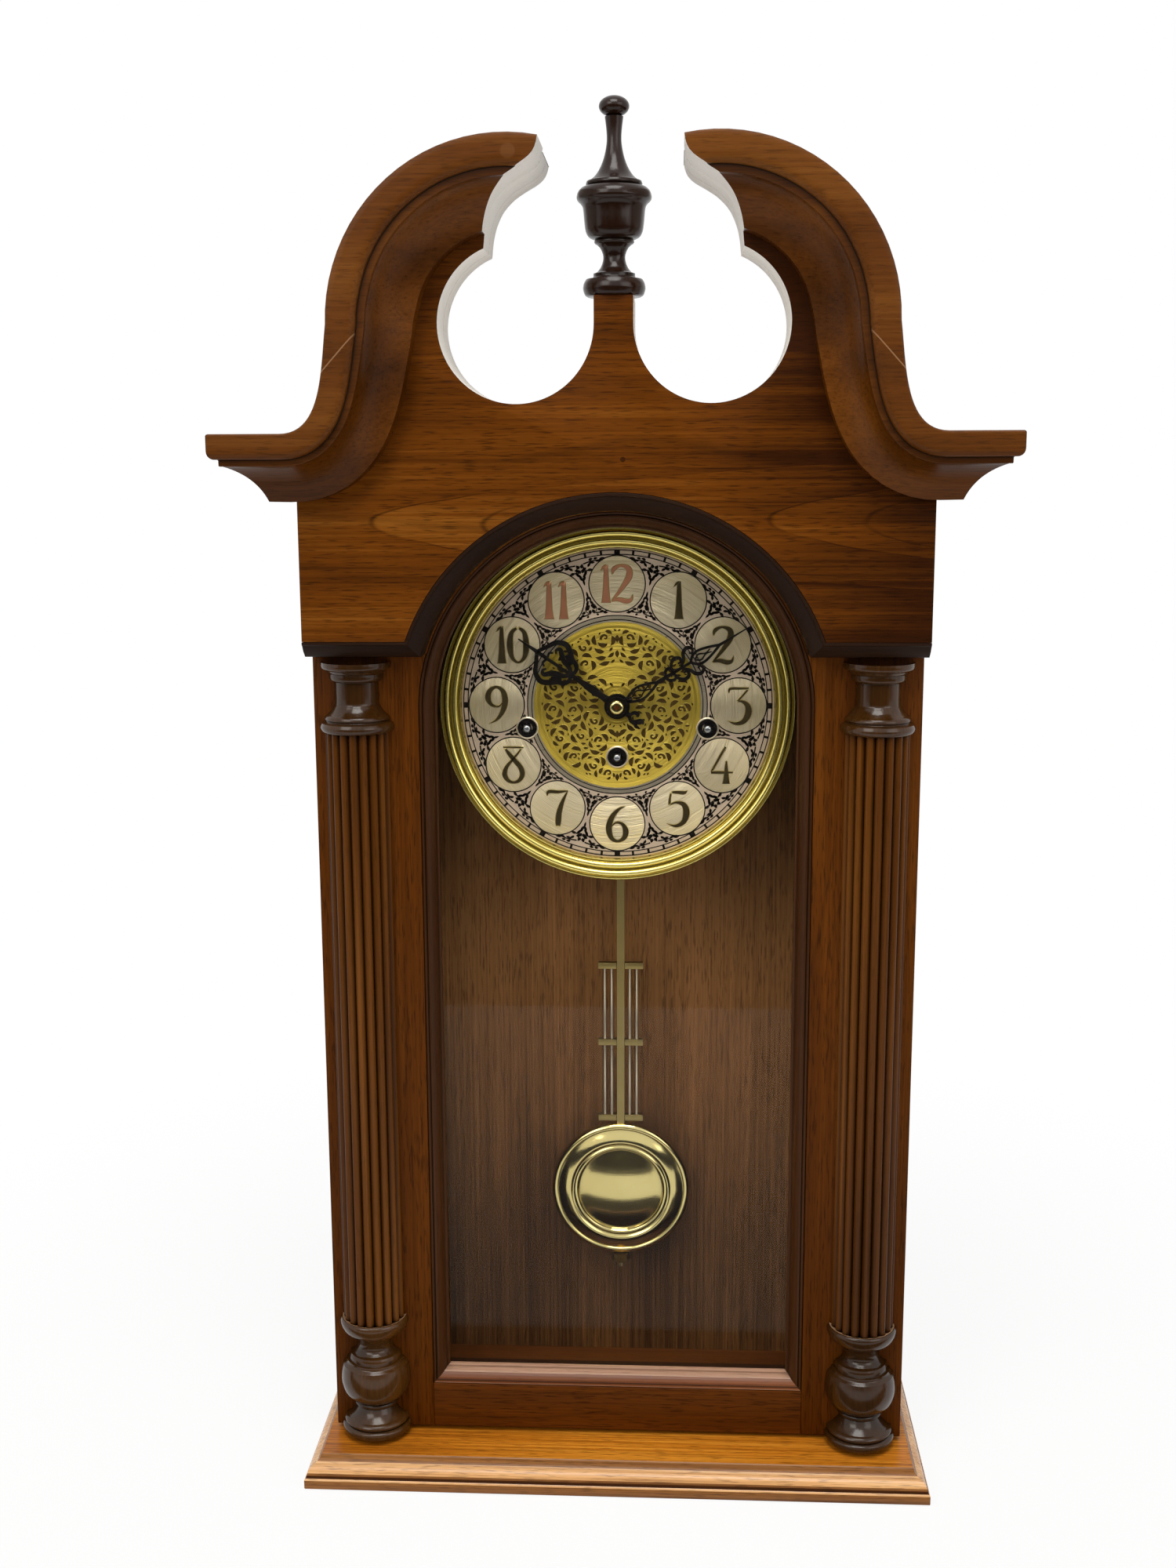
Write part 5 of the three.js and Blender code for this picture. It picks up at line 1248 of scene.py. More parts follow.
def makeDialPlates():
    c = chapter
    r = c["cartouche"]
    bm = bmesh.new()
    for hour in range(12):
        cx, cv = hourPlace(hour)
        cz = dialZ + cv
        flat = [(cx, c["plateY"], cz), (cx + r - c["plateEdge"], c["plateY"], cz)]
        turnPart(bm, flat + [(cx + r, c["plateRim"], cz)], (cx, 0, cz), c["steps"])
    finishPiece(bm, "dial_cartouches", "case", ["champagnePlate"], sheet=True)
    bm = bmesh.new()
    for inner, outer, y in silverRings:
        ringOn(bm, inner, outer, y)
    finishPiece(bm, "dial_silver_ring", "case", ["silverRing"], sheet=True)


def makeDialPrint():
    c = chapter
    y = c["printY"]
    bm = bmesh.new()
    for hour in range(12):
        cx, cv = hourPlace(hour)
        inner = c["cartouche"] - c["overlap"]
        ringOn(bm, inner, c["cartouche"] + c["outline"], y, c["steps"], cx, dialZ + cv)
    for r in (c["trackIn"], c["trackOut"] - c["trackLine"]):
        ringOn(bm, r, r + c["trackLine"], y)
    for r in (silverRings[1][1], silverRings[0][1]):
        ringOn(bm, r, r + c["trackLine"], y - c["ringLift"])
    for minute in range(60):
        width = c["minuteWidth"] if minute % 5 else c["hourWidth"]
        line = [(0, c["trackIn"], width), (0, c["trackOut"], width)]
        stroke(bm, line, y - c["markLift"], turned=-radians(6 * minute))
    finishPiece(bm, "dial_minute_track", "case", ["blackPrint"], sheet=True)


makeDialPlates()
makeDialPrint()

# Numerals in upright old-style strokes, height about 21 mm: across, up, width
numeralStrokes = {
    "0": [
        [(0, 9.8, 1.5), (3.5, 6.8, 2.6), (4.5, 0, 3.6), (3.5, -6.8, 2.6), (0, -9.8, 1.5), (-3.5, -6.8, 2.6),
         (-4.5, 0, 3.6), (-3.5, 6.8, 2.6), (0, 9.8, 1.5)],
    ],
    "1": [
        [(0.3, 10.4, 2.2), (0.3, 4, 2.8), (0.3, -4, 3.6), (0.3, -9, 4.6), (0.3, -10.6, 5.4)],
        [(0.6, 10.2, 1.2), (-1.0, 9.2, 1.6), (-2.8, 7.2, 0.4)],
    ],
    "2": [
        [(-5.4, 5.0, 0.8), (-4.4, 8.2, 2.4), (-0.6, 10.0, 1.6), (3.6, 8.4, 3.0), (4.0, 4.2, 3.6),
         (0.6, -1.6, 2.6), (-3.8, -7.4, 1.6), (-5.6, -9.8, 1.2)],
        [(-5.8, -9.4, 1.0), (-2.0, -8.6, 2.4), (2.4, -9.6, 2.8), (5.0, -8.8, 2.0), (6.0, -5.8, 0.5)],
    ],
    "3": [
        [(-5.6, 7.0, 0.5), (-5.2, 9.2, 1.6), (-3.6, 9.7, 1.7), (0, 9.7, 1.6), (5.6, 9.8, 1.4)],
        [(5.4, 9.6, 1.2), (2.6, 6.2, 1.4), (-0.8, 2.4, 1.4)],
        [(-0.9, 2.4, 1.0), (2.0, 2.4, 1.8), (5.0, 0.0, 3.2), (5.4, -4.4, 3.8), (2.8, -8.8, 3.0),
         (-1.6, -10.0, 2.0), (-6.2, -8.4, 0.4)],
    ],
    "4": [
        [(2.0, 10.6, 1.6), (-2.0, 3.4, 1.5), (-5.8, -3.6, 1.4)],
        [(-6.0, -3.9, 1.8), (0, -3.9, 2.0), (6.4, -3.9, 1.2)],
        [(2.6, 2.6, 1.2), (2.6, -4, 2.6), (2.6, -9.2, 3.8), (2.6, -10.6, 4.6)],
    ],
    "5": [
        [(5.8, 10.6, 0.4), (3.8, 9.2, 2.2), (0, 9.4, 2.0), (-3.6, 9.4, 1.4)],
        [(-3.5, 9.4, 1.2), (-4.2, 5.6, 1.4), (-4.4, 2.0, 1.6)],
        [(-4.4, 2.2, 1.0), (-0.6, 3.6, 1.6), (3.8, 2.2, 3.0), (5.2, -2.4, 3.8), (3.6, -7.6, 3.0),
         (-0.8, -10.0, 2.0), (-6.0, -8.6, 0.4)],
    ],
    "6": [
        [(4.8, 10.4, 0.4), (1.0, 8.6, 1.8), (-3.0, 4.0, 3.0), (-4.8, -2.4, 3.6), (-3.4, -8.0, 2.8),
         (0.2, -10.0, 1.8), (3.8, -8.0, 2.8), (4.8, -4.0, 3.4), (3.0, -0.2, 2.2), (-0.6, 0.8, 1.4),
         (-4.0, -2.0, 0.8)],
    ],
    "7": [
        [(-6.0, 6.6, 0.4), (-5.4, 9.0, 2.0), (-3.4, 9.5, 2.2), (0.6, 9.3, 2.0), (5.8, 9.9, 1.2)],
        [(5.8, 9.8, 0.8), (3.0, 4.0, 2.2), (1.0, -2.0, 3.2), (0.3, -7.6, 3.4), (0.2, -10.8, 2.4)],
    ],
    "8": [
        [(-5.8, 9.9, 1.2), (0, 9.9, 1.3), (5.8, 9.9, 1.2)],
        [(-4.8, 9.6, 1.2), (-2.4, 6.2, 2.4), (0.6, 2.6, 2.8), (4.0, -1.6, 3.0), (5.0, -5.6, 3.0),
         (3.2, -9.0, 2.4), (0, -10.2, 1.8), (-3.2, -9.0, 2.4), (-5.0, -5.6, 3.0), (-4.0, -1.6, 2.4),
         (-0.6, 2.8, 1.6), (2.4, 6.2, 1.4), (4.8, 9.6, 1.0)],
    ],
    "9": [
        [(4.0, 2.0, 0.8), (0.8, -0.8, 1.4), (-3.0, 0.4, 2.2), (-4.8, 4.2, 3.4), (-3.6, 8.2, 2.8),
         (0, 10.2, 1.8), (3.6, 8.0, 2.8), (4.8, 3.0, 3.6), (3.6, -3.0, 3.0), (0.2, -8.0, 1.8),
         (-4.6, -10.8, 0.4)],
    ],
}
numeralPlaces = {10: ((-6.4, "1"), (3.6, "0")), 11: ((-4.4, "1"), (4.2, "1")), 12: ((-6.8, "1"), (2.8, "2"))}
numeral = dict(
    y=26.84, lift=0.42, layer=0.02, edge=0.34, scale=1.06, bold=1.15, steps=5, facing=-0.92,
    copperLeft=-54, copperRight=14, copperLow=45,
)


def makeNumerals():
    n = numeral
    bm = bmesh.new()
    for hour in range(1, 13):
        cu, cv = hourPlace(hour)
        for across, digit in numeralPlaces.get(hour, ((0.0, str(hour % 10)),)):
            for i, points in enumerate(numeralStrokes[digit]):
                sized = [(u * n["scale"], v * n["scale"], w * n["bold"]) for u, v, w in points]
                line = smoothLine(sized, n["steps"])
                stroke(bm, line, n["y"], n["lift"] + n["layer"] * i, n["edge"], (cu + across, cv))

    # Gilt edges; the faces of 11 and 12 carry a painted copper reflection, and the rest a painted dark
    # reflection
    def faceOrEdge(face):
        c = face.calc_center_median()
        if face.normal.y > n["facing"]:
            return 0
        return 2 if n["copperLeft"] < c.x < n["copperRight"] and c.z > dialZ + n["copperLow"] else 1

    looks = ["numeralEdge", "numeralDarkReflection", "numeralCopperReflection"]
    return finishPiece(
        bm, "dial_numerals", "case", looks, sheet=True, crease=20, pick=faceOrEdge
    )


makeNumerals()


# A leaf or comma: start, heading in degrees, length, how far it bends, greatest width
def leafLine(u, v, heading, length, bend, width, steps=7, blunt=0.35, tip=0.06):
    line = []
    angle = radians(heading)
    for i in range(steps + 1):
        t = i / steps
        line.append((u, v, width * max(tip, sin(pi * t ** (0.5 + blunt)) if 0 < t < 1 else tip)))
        angle += radians(bend) / steps
        u += length / steps * cos(angle)
        v += length / steps * sin(angle)
    return line


# A stem that winds in on itself
def scrollLine(u, v, heading, length, bend, wide, thin, steps=14):
    line = []
    angle = radians(heading)
    for i in range(steps + 1):
        t = i / steps
        line.append((u, v, wide + (thin - wide) * t))
        angle += radians(bend) * (0.35 + 1.3 * t) / steps
        step = length / steps * (1.25 - 0.5 * t)
        u += step * cos(angle)
        v += step * sin(angle)
    return line


# Printed flowers between the cartouches: outside the waist, and inside it; each half is mirrored
spray = dict(y=26.9, waist=72.0, bold=1.35, least=0.1)
outerSpray = [
    leafLine(0, 1.2, 90, 4.6, 0, 0.9), leafLine(0.3, 4.0, 52, 4.2, 40, 1.0),
    leafLine(0.2, 6.2, 30, 5.4, 30, 1.1), scrollLine(0.2, 5.2, 40, 9.5, 150, 0.55, 0.35),
    leafLine(3.6, 9.2, 20, 3.8, -50, 1.2), leafLine(4.6, 11.2, 70, 3.2, -60, 1.1),
    scrollLine(2.4, 13.6, 8, 13.0, -40, 0.6, 0.3), leafLine(6.0, 14.6, 45, 2.8, -60, 1.1),
    leafLine(6.4, 13.6, -30, 3.0, 30, 1.0), leafLine(9.0, 14.6, 40, 2.6, -70, 1.0),
    leafLine(9.6, 13.8, -28, 3.2, 30, 0.9), leafLine(12.0, 13.9, 10, 4.0, -25, 1.0),
    leafLine(0.4, 8.6, 65, 2.8, -20, 1.5), leafLine(0.8, 10.3, 5, 2.9, 20, 1.4),
    leafLine(0.5, 11.4, 50, 2.8, 20, 1.4), leafLine(2.2, 7.0, 70, 2.6, 50, 0.9),
    leafLine(5.6, 12.6, 20, 2.4, 60, 0.8),
]
innerSpray = [
    leafLine(0, -2.4, -90, 4.8, 0, 0.9), leafLine(0.2, -5.4, -55, 3.4, -30, 0.9),
    leafLine(0.2, -8.0, -40, 3.6, -30, 1.0), leafLine(0.4, -10.4, -50, 2.6, 20, 1.4),
    leafLine(0.8, -12.2, -5, 2.8, -20, 1.4), leafLine(0.5, -13.4, -60, 2.8, -20, 1.4),
    scrollLine(0.6, -9.4, -30, 7.0, -130, 0.5, 0.3), scrollLine(1.8, -15.6, -12, 8.6, 30, 0.55, 0.3),
    leafLine(3.6, -13.6, -45, 2.8, 50, 1.1), leafLine(4.6, -15.8, 20, 2.6, -50, 1.0),
    leafLine(6.4, -16.6, -30, 3.0, 30, 0.9), leafLine(2.4, -16.4, -60, 1.8, 40, 0.9),
]


def makeSprays():
    bm = bmesh.new()
    for hour in range(12):
        turned = -radians(30 * hour + 15)
        origin = (-spray["waist"] * sin(turned), spray["waist"] * cos(turned))
        for line in outerSpray + innerSpray:
            for mirror in (1, -1):
                made = [(mirror * u, v, w * spray["bold"] + spray["least"]) for u, v, w in line]
                stroke(bm, made, spray["y"], origin=origin, turned=turned)
    return finishPiece(bm, "dial_flower_print", "case", ["blackPrint"], sheet=True)


makeSprays()

# Scrollwork on the gilt centre, one half of it: curls round their middles, then leaves wherever there is room
scrollwork = dict(
    y=26.58, lift=0.1, edge=0.12, facing=-0.95, outer=45.8, inner=10.4, gap=0.42, middleGap=0.2, near=4.5,
    holeV=-31, holeRadius=8.4, curlStarts=(0, 50, 100, 150, 200, 250), curlRadius=2.2, curlLength=8.0,
    curlBend=330, curlWide=1.9, curlThin=1.2, curlSteps=16, goldenAngle=137.508, leastAway=2.5, leafTurn=66,
    leafBend=75, mostBend=130,
)
# Middles of the scrolls and which way each winds
scrollMiddles = [
    (7.5, 39.0, 1), (20.0, 35.5, -1), (32.0, 26.5, 1), (19.0, 23.5, 1), (37.5, 12.0, -1), (25.0, 11.5, -1),
    (14.0, 9.0, 1), (38.0, -3.5, 1), (26.0, -4.0, 1), (13.5, -8.0, -1), (34.0, -18.5, -1),
    (21.5, -17.0, -1), (26.0, -32.0, 1), (11.0, -22.0, 1), (14.0, -35.0, -1), (5.5, -42.0, 1),
]
# Leaves by length, width and how many places are tried, and the leaves on the middle line
scrollLeaves = [(7.0, 3.0, 700), (5.0, 2.4, 900), (3.4, 1.8, 1000), (2.2, 1.3, 1000)]
middleLeaf = dict(up=(42.0, 33.0, -15.0, -41.0), length=4.8, width=2.8)
bareOval = dict(v=19.0, across=11.5, up=5.6)


def hasRoom(line, placed):
    s = scrollwork
    for u, v, w in line:
        r = hypot(u, v)
        if r + w / 2 > s["outer"] or r - w / 2 < s["inner"]:
            return False
        if u < w / 2 + s["middleGap"] or hypot(u, v - s["holeV"]) < s["holeRadius"]:
            return False
        if hypot(u / bareOval["across"], (v - bareOval["v"]) / bareOval["up"]) < 1:
            return False
        close = [(a, b, c) for a, b, c in placed if abs(u - a) < s["near"]]
        if any(hypot(u - a, v - b) < (w + c) / 2 + s["gap"] for a, b, c in close):
            return False
    return True


def scrollLines():
    s = scrollwork
    placed = []
    kept = []

    def tryLine(line):
        if hasRoom(line, placed):
            placed.extend(line)
            kept.append(line)

    for u, v, hand in scrollMiddles:
        for start in s["curlStarts"]:
            su = u + s["curlRadius"] * cos(radians(start))
            sv = v + s["curlRadius"] * sin(radians(start))
            curl = (s["curlLength"], s["curlBend"] * hand, s["curlWide"], s["curlThin"], s["curlSteps"])
            tryLine(scrollLine(su, sv, start + 90 * hand, *curl))
    for length, width, tries in scrollLeaves:
        for k in range(tries):
            radius = s["outer"] * sqrt((k + 0.5) / tries)
            theta = radians((k * s["goldenAngle"]) % 180)
            u = radius * sin(theta)
            v = radius * cos(theta)
            cu, cv, hand = min(scrollMiddles, key=lambda m: hypot(m[0] - u, m[1] - v))
            away = max(s["leastAway"], hypot(u - cu, v - cv))
            heading = atan2(v - cv, u - cu) * 180 / pi + s["leafTurn"] * hand
            bend = hand * min(s["mostBend"], length / away * s["leafBend"])
            tryLine(leafLine(u, v, heading, length, bend, width))
    for v in middleLeaf["up"]:
        kept.append(leafLine(0.0, v, -90, middleLeaf["length"], 0, middleLeaf["width"]))
    return kept


def makeScrollwork():
    s = scrollwork
    bm = bmesh.new()
    for line in scrollLines():
        for mirror in (1,) if line[0][0] == 0.0 else (1, -1):
            made = [(mirror * u, v, w) for u, v, w in line]
            stroke(bm, made, s["y"], s["lift"], s["edge"])
    # Bright sides are a painted highlight, dark tops a painted shade of the relief's recesses
    looks = ["giltEdgeHighlight", "recessShadeDark"]
    return finishPiece(
        bm, "dial_centre_scrollwork", "case", looks, sheet=True, crease=20,
        pick=lambda f: 1 if f.normal.y < s["facing"] else 0,
    )


makeScrollwork()

# Grommets of the winding holes: radius and depth; inside the rim the grommet is black, painted shade of the
# hole
windingPlaces = ((-53.6, -13.7), (53.6, -13.7), (0.0, -31.0))
grommet = dict(dark=5.68, steps=48)
grommetLine = [
    (6.8, 26.8), (6.7, 26.2), (6.3, 25.9), (5.8, 26.0), (5.7, 26.2), (5.5, 26.45), (3.2, 26.5), (3.2, 27.4),
]


def makeGrommets():
    bm = bmesh.new()
    for cx, cv in windingPlaces:
        profile = [(cx + r, y, dialZ + cv) for r, y in grommetLine]
        turnPart(bm, profile, (cx, 0, dialZ + cv), grommet["steps"])

    # Black inside the rim: painted shade of the hole
    def inside(face):
        c = face.calc_center_median()
        r = min(hypot(c.x - x, c.z - dialZ - v) for x, v in windingPlaces)
        return 1 if r < grommet["dark"] else 0

    looks = ["silverRing", "blackMetal"]
    return finishPiece(bm, "winding_grommets", "case", looks, pick=inside, crease=40)


makeGrommets()

# Bright ends of the winding squares: radius and depth
windingEnd = dict(line=[(2.1, 23.5), (2.05, 23.1), (1.7, 22.7), (1.0, 22.45), (0.0, 22.4)], steps=32)


def makeWindingEnd(body, cx, cv):
    bm = bmesh.new()
    profile = [(cx + r, y, dialZ + cv) for r, y in windingEnd["line"]]
    turn(bm, profile, (cx, 0, dialZ + cv), (0, 1, 0), windingEnd["steps"])
    capOpenings(bm)
    return finishPiece(bm, body + "_end", body, ["steel"], crease=50)


for body, (cx, cv) in zip(("winding_strike", "winding_chime", "winding_time"), windingPlaces):
    makeWindingEnd(body, cx, cv)

# Serpentine hands: along the hand, to the side, width; scrolls are mirrored and overlap in thin layers
handMake = dict(layer=0.02, layers=5, steps=5, hubProud=0.15, hubRound=0.4, hubSteps=48)
minuteHand = dict(angle=58.5, front=18.6, thick=1.2, hub=6.0, hole=2.4, bold=1.25)
minuteStrokes = [
    [(5.0, 0.0, 3.2), (8.0, 0.0, 2.2), (10.5, 0.0, 1.6)],
    [(69.0, 0.0, 1.5), (80.0, 0.0, 0.9), (90.8, 0.0, 0.4)],
    [(27.0, 0.0, 1.8), (32.0, 0.0, 1.9), (38.0, 0.0, 1.6), (52.0, 0.0, 1.2)],
    [(-4.0, 0.0, 2.6), (-7.0, 0.0, 0.8)],
]
minuteScrolls = [
    [(7.0, 0.8, 1.4), (12.0, 3.0, 1.2), (17.0, 3.8, 1.2), (23.0, 2.2, 1.3), (28.0, 0.2, 1.4)],
    [(11.0, 0.4, 0.7), (15.0, 2.2, 0.7), (19.0, 0.3, 0.7), (23.0, 1.4, 0.6)],
    [(33.5, 0.4, 1.2), (35.0, 2.8, 1.5), (37.6, 3.8, 1.5), (39.6, 2.0, 1.2), (38.2, 1.0, 0.8)],
    [(38.5, 0.6, 1.2), (40.0, 4.4, 1.5), (43.0, 6.8, 1.8), (46.2, 5.8, 1.7), (46.2, 3.4, 1.3),
     (44.0, 3.2, 0.8)],
    [(44.5, 0.6, 1.3), (48.0, 3.4, 1.5), (49.8, 7.0, 1.8), (53.0, 8.6, 1.7), (55.4, 6.8, 1.4),
     (54.4, 4.6, 1.0), (52.6, 5.2, 0.7)],
    [(51.0, 0.4, 1.2), (54.0, 3.0, 1.3), (58.0, 3.8, 1.2), (64.0, 2.4, 1.2), (70.0, 0.2, 1.3)],
    [(54.0, 0.2, 0.8), (57.0, 1.8, 0.8), (61.0, 0.2, 0.7), (64.5, 1.0, 0.5)],
]
hourHand = dict(angle=304.5, front=21.6, thick=1.2, hub=7.6, hole=3.6, bold=1.38)
hourStrokes = [
    [(5.0, 0.0, 4.0), (10.0, 0.0, 2.8), (15.0, 0.0, 3.4), (20.0, 0.0, 3.2), (26.0, 0.0, 2.2),
     (32.0, 0.0, 1.7)],
    [(32.0, 0.0, 1.6), (42.0, 0.0, 1.3), (52.0, 0.0, 1.5), (57.0, 0.0, 1.7), (63.0, 0.0, 1.1),
     (70.4, 0.0, 0.5)],
]
hourScrolls = [
    [(57.0, 0.4, 1.6), (53.8, 5.8, 1.8), (50.8, 10.8, 2.1), (45.6, 13.2, 2.3), (41.2, 11.2, 2.3),
     (37.4, 8.2, 2.0), (33.6, 6.6, 1.9), (31.8, 3.6, 1.7), (32.6, 0.5, 1.5)],
    [(33.0, 0.6, 1.4), (36.6, 3.2, 2.0), (40.4, 4.2, 2.2), (43.6, 6.4, 2.2), (46.4, 8.8, 1.8),
     (48.2, 7.2, 1.2), (47.0, 5.2, 0.7)],
    [(36.0, 5.2, 2.4), (39.0, 7.2, 2.6), (41.6, 8.4, 1.6)],
    [(50.0, 0.5, 0.9), (50.6, 3.4, 1.1), (48.8, 4.8, 0.7)],
]
hourTail = [
    [(-5.0, 0.0, 3.6), (-9.0, 0.6, 1.8), (-12.0, 2.6, 1.6), (-14.4, 1.4, 2.0), (-17.0, -0.6, 2.4),
     (-19.0, -0.4, 0.6)],
    [(-9.0, 0.4, 1.4), (-10.4, -2.6, 1.5), (-12.8, -3.2, 1.6), (-13.4, -1.6, 1.0)],
    [(-13.6, 1.6, 1.2), (-16.0, 3.4, 1.6), (-18.0, 3.0, 0.5)],
]


def makeHand(name, hand, strokes, scrolls, body):
    m = handMake
    bm = bmesh.new()
    turned = radians(90 - hand["angle"])
    lines = list(strokes)
    for scroll in scrolls:
        lines += [scroll, [(u, -v, w) for u, v, w in scroll]]
    for i, points in enumerate(lines):
        inset = m["layer"] * (i % m["layers"])
        bolder = [(u, v, w * hand["bold"]) for u, v, w in points]
        thick = hand["thick"] - 2 * inset
        stroke(bm, smoothLine(bolder, m["steps"]), hand["front"] + inset, turned=turned, thick=thick)
    front = hand["front"] - m["hubProud"]
    rear = hand["front"] + hand["thick"]
    hub = [(hand["hole"], rear), (hand["hole"], front), (hand["hub"] - m["hubRound"], front)]
    hub += [(hand["hub"], front + m["hubRound"]), (hand["hub"], rear), (hand["hole"], rear)]
    turnPart(bm, [(r, y, dialZ) for r, y in hub], (0, 0, dialZ), m["hubSteps"])
    capOpenings(bm)
    return finishPiece(bm, name + "_scrolled", body, ["blackMetal"], [name], crease=40)


makeHand("minute_hand", minuteHand, minuteStrokes, minuteScrolls, "minute_work")
makeHand("hour_hand", hourHand, hourStrokes + hourTail, hourScrolls, "hour_work")

# Turned nut: radius and distance behind its front
handNut = dict(front=16.4, dimple=1.3, steps=40)
handNutLine = [
    (0.0, 0.5), (1.1, 0.45), (1.4, 0.1), (2.4, 0.0), (3.3, 0.25), (4.0, 0.8), (4.2, 1.2), (4.2, 1.9),
    (0.0, 1.9),
]


def makeNut():
    bm = bmesh.new()
    profile = [(r, handNut["front"] + y, dialZ) for r, y in handNutLine]
    turn(bm, profile, (0, 0, dialZ), (0, 1, 0), handNut["steps"])

    def centre(face):
        return 1 if dialRadius(face) < handNut["dimple"] else 0

    looks = ["polishedBrass", "coppery"]
    return finishPiece(
        bm, "hand_nut_turned", "minute_work", looks, ["hand_nut"], pick=centre, crease=40
    )


makeNut()
print("dial and hands made")

# Pendulum bob, pressed in rings: radius and distance before its middle plane
bob = dict(z=145.0, y=88.0, steps=128)
bobFront = [
    (0.0, 7.0), (6.0, 6.8), (12.0, 6.2), (18.0, 5.2), (23.0, 4.0), (26.2, 3.1), (27.2, 2.9), (27.7, 3.6),
    (28.4, 4.9), (29.4, 5.3), (30.4, 4.9), (31.0, 4.3), (31.6, 4.3), (32.4, 5.2), (33.2, 5.6), (34.2, 5.5),
    (36.4, 4.7), (38.8, 3.7), (40.6, 2.8), (41.2, 2.6), (41.6, 3.2), (42.4, 3.5), (43.6, 3.2), (44.8, 2.4),
    (45.4, 1.4), (45.5, 0.6),
]
bobBack = [(45.5, -0.8), (44.6, -3.0), (36.0, -5.4), (18.0, -6.6), (0.0, -7.0)]


def makeBob():
    b = bob
    bm = bmesh.new()
    profile = [(r, b["y"] - d, b["z"]) for r, d in bobFront + bobBack]
    turn(bm, profile, (0, 0, b["z"]), (0, 1, 0), b["steps"])
    return finishPiece(
        bm, "pendulum_bob_pressed", "pendulum", ["polishedBrass"], ["pendulum_bob"], crease=60
    )


makeBob()

# Bars of the grid by their height; what lies between them is wire
pendulumBars = dict(heights=(194.5, 246.25, 298.0), half=2.6, arris=0.35)


def onWire(face):
    nearest = min(abs(face.calc_center_median().z - z) for z in pendulumBars["heights"])
    return 0 if nearest < pendulumBars["half"] else 1


gridLooks = ["dullBrass", "silverRing"]
softenNode("pendulum_grid", "pendulum", gridLooks, pendulumBars["arris"], pick=onWire)
print("pendulum made")

# Finishes of the CAD nodes that stay, and of any other node by its slot
nodesByFinish = {
    "backBoardWood": ["back_panel"],
    "hoodTrimWood": ["glass_retainer"],
    "paneGlass": ["door_glass"],
    "pinkSilver": ["chapter_ring"],
    "giltCentre": ["dial_centre"],
    "blackMetal": ["magnet_catch"],
    "dullBrass": ["pendulum_rod"],
    "steel": [
        "hanger_plate", "catch_strike", "movement_bracket", "chime_rods", "hammer_rail", "centre_arbor",
        "pallet_anchor",
    ],
    "worksBrass": [
        "dial_plate", "front_plate", "back_plate", "suspension_cock", "hour_wheel", "minute_wheel",
        "hammer_1", "hammer_2", "hammer_3", "hammer_4",
    ],
    "polishedBrass": ["time_barrel", "strike_barrel", "chime_barrel", "escape_wheel"],
    # Winding arbors: painted shade in their holes
    "arborShadeSteel": ["winding_arbor_time", "winding_arbor_strike", "winding_arbor_chime"],
    "agedBrass": [
        "hinge_case_leaf_upper", "hinge_case_leaf_lower", "hinge_door_leaf_upper", "hinge_door_leaf_lower",
        "rating_nut",
    ],
}
nodeFinish = {node: look for look, nodes in nodesByFinish.items() for node in nodes}
slotFinish = {
    "red_brown_wood": "cherryFront", "dark_wood": "turnedWood", "back_board": "backBoardWood",
    "gilt_brass": "giltBezel", "brass": "worksBrass", "silvered_metal": "pinkSilver", "steel": "steel",
    "black_metal": "blackMetal", "glass": "paneGlass",
}
for name, node in cadNodes.items():
    for place in node.material_slots:
        plain = (place.material.name if place.material else "").split(".")[0]
        place.material = finish[nodeFinish.get(name, slotFinish.get(plain, "cherryFront"))]
print("finishes set on CAD nodes")


def stagePiece(name, bm, material):
    mesh = bpy.data.meshes.new(name)
    bm.to_mesh(mesh)
    bm.free()
    mesh.materials.append(material)
    piece = bpy.data.objects.new(name, mesh)
    scene.collection.objects.link(piece)
    return piece


# Rays that see the white surroundings themselves
def seenRays(tree):
    path = put(tree, "ShaderNodeLightPath").outputs
    seen = maths(tree, "MAXIMUM", path["Is Camera Ray"], path["Is Transmission Ray"])
    return maths(tree, "MAXIMUM", seen, path["Is Glossy Ray"])


# Stage: pale floor that keeps the shadow near the clock, white surroundings, soft studio lamps
studioFloor = dict(half=4, drop=-0.0005, colour=(0.97, 0.97, 0.97, 1), fade=(0.25, 0.8), nearWhite=0.88)


def makeStage():
    s = studioFloor
    material, tree, pale, place = startMaterial("paleFloor")
    setShader(pale, Base_Color=s["colour"], Roughness=0.9)
    distance = vectorMaths(tree, "LENGTH", place)
    fade = mapRange(tree, distance, *s["fade"], s["nearWhite"], 1.0, smooth=True)
    seen = maths(tree, "MULTIPLY", seenRays(tree), fade)
    mixSurface(tree, seen, pale, put(tree, "ShaderNodeEmission", {"Color": (1, 1, 1, 1), "Strength": 1.0}))
    bm = bmesh.new()
    bmesh.ops.create_grid(bm, x_segments=1, y_segments=1, size=s["half"])
    floor = stagePiece("studioFloor", bm, material)
    floor.location.z = s["drop"]


# Dark cards seen only in reflections, as in a studio for polished metal: one lies under the camera
# and turns up behind it, and one lies before the plinth
card = dict(
    half=3.6, away=-3.0, near=-0.92, height=0.8, low=0.001, footHalf=0.6, footFar=-0.17, footNear=-0.068,
    shade=(0.03, 0.025, 0.02, 1),
)


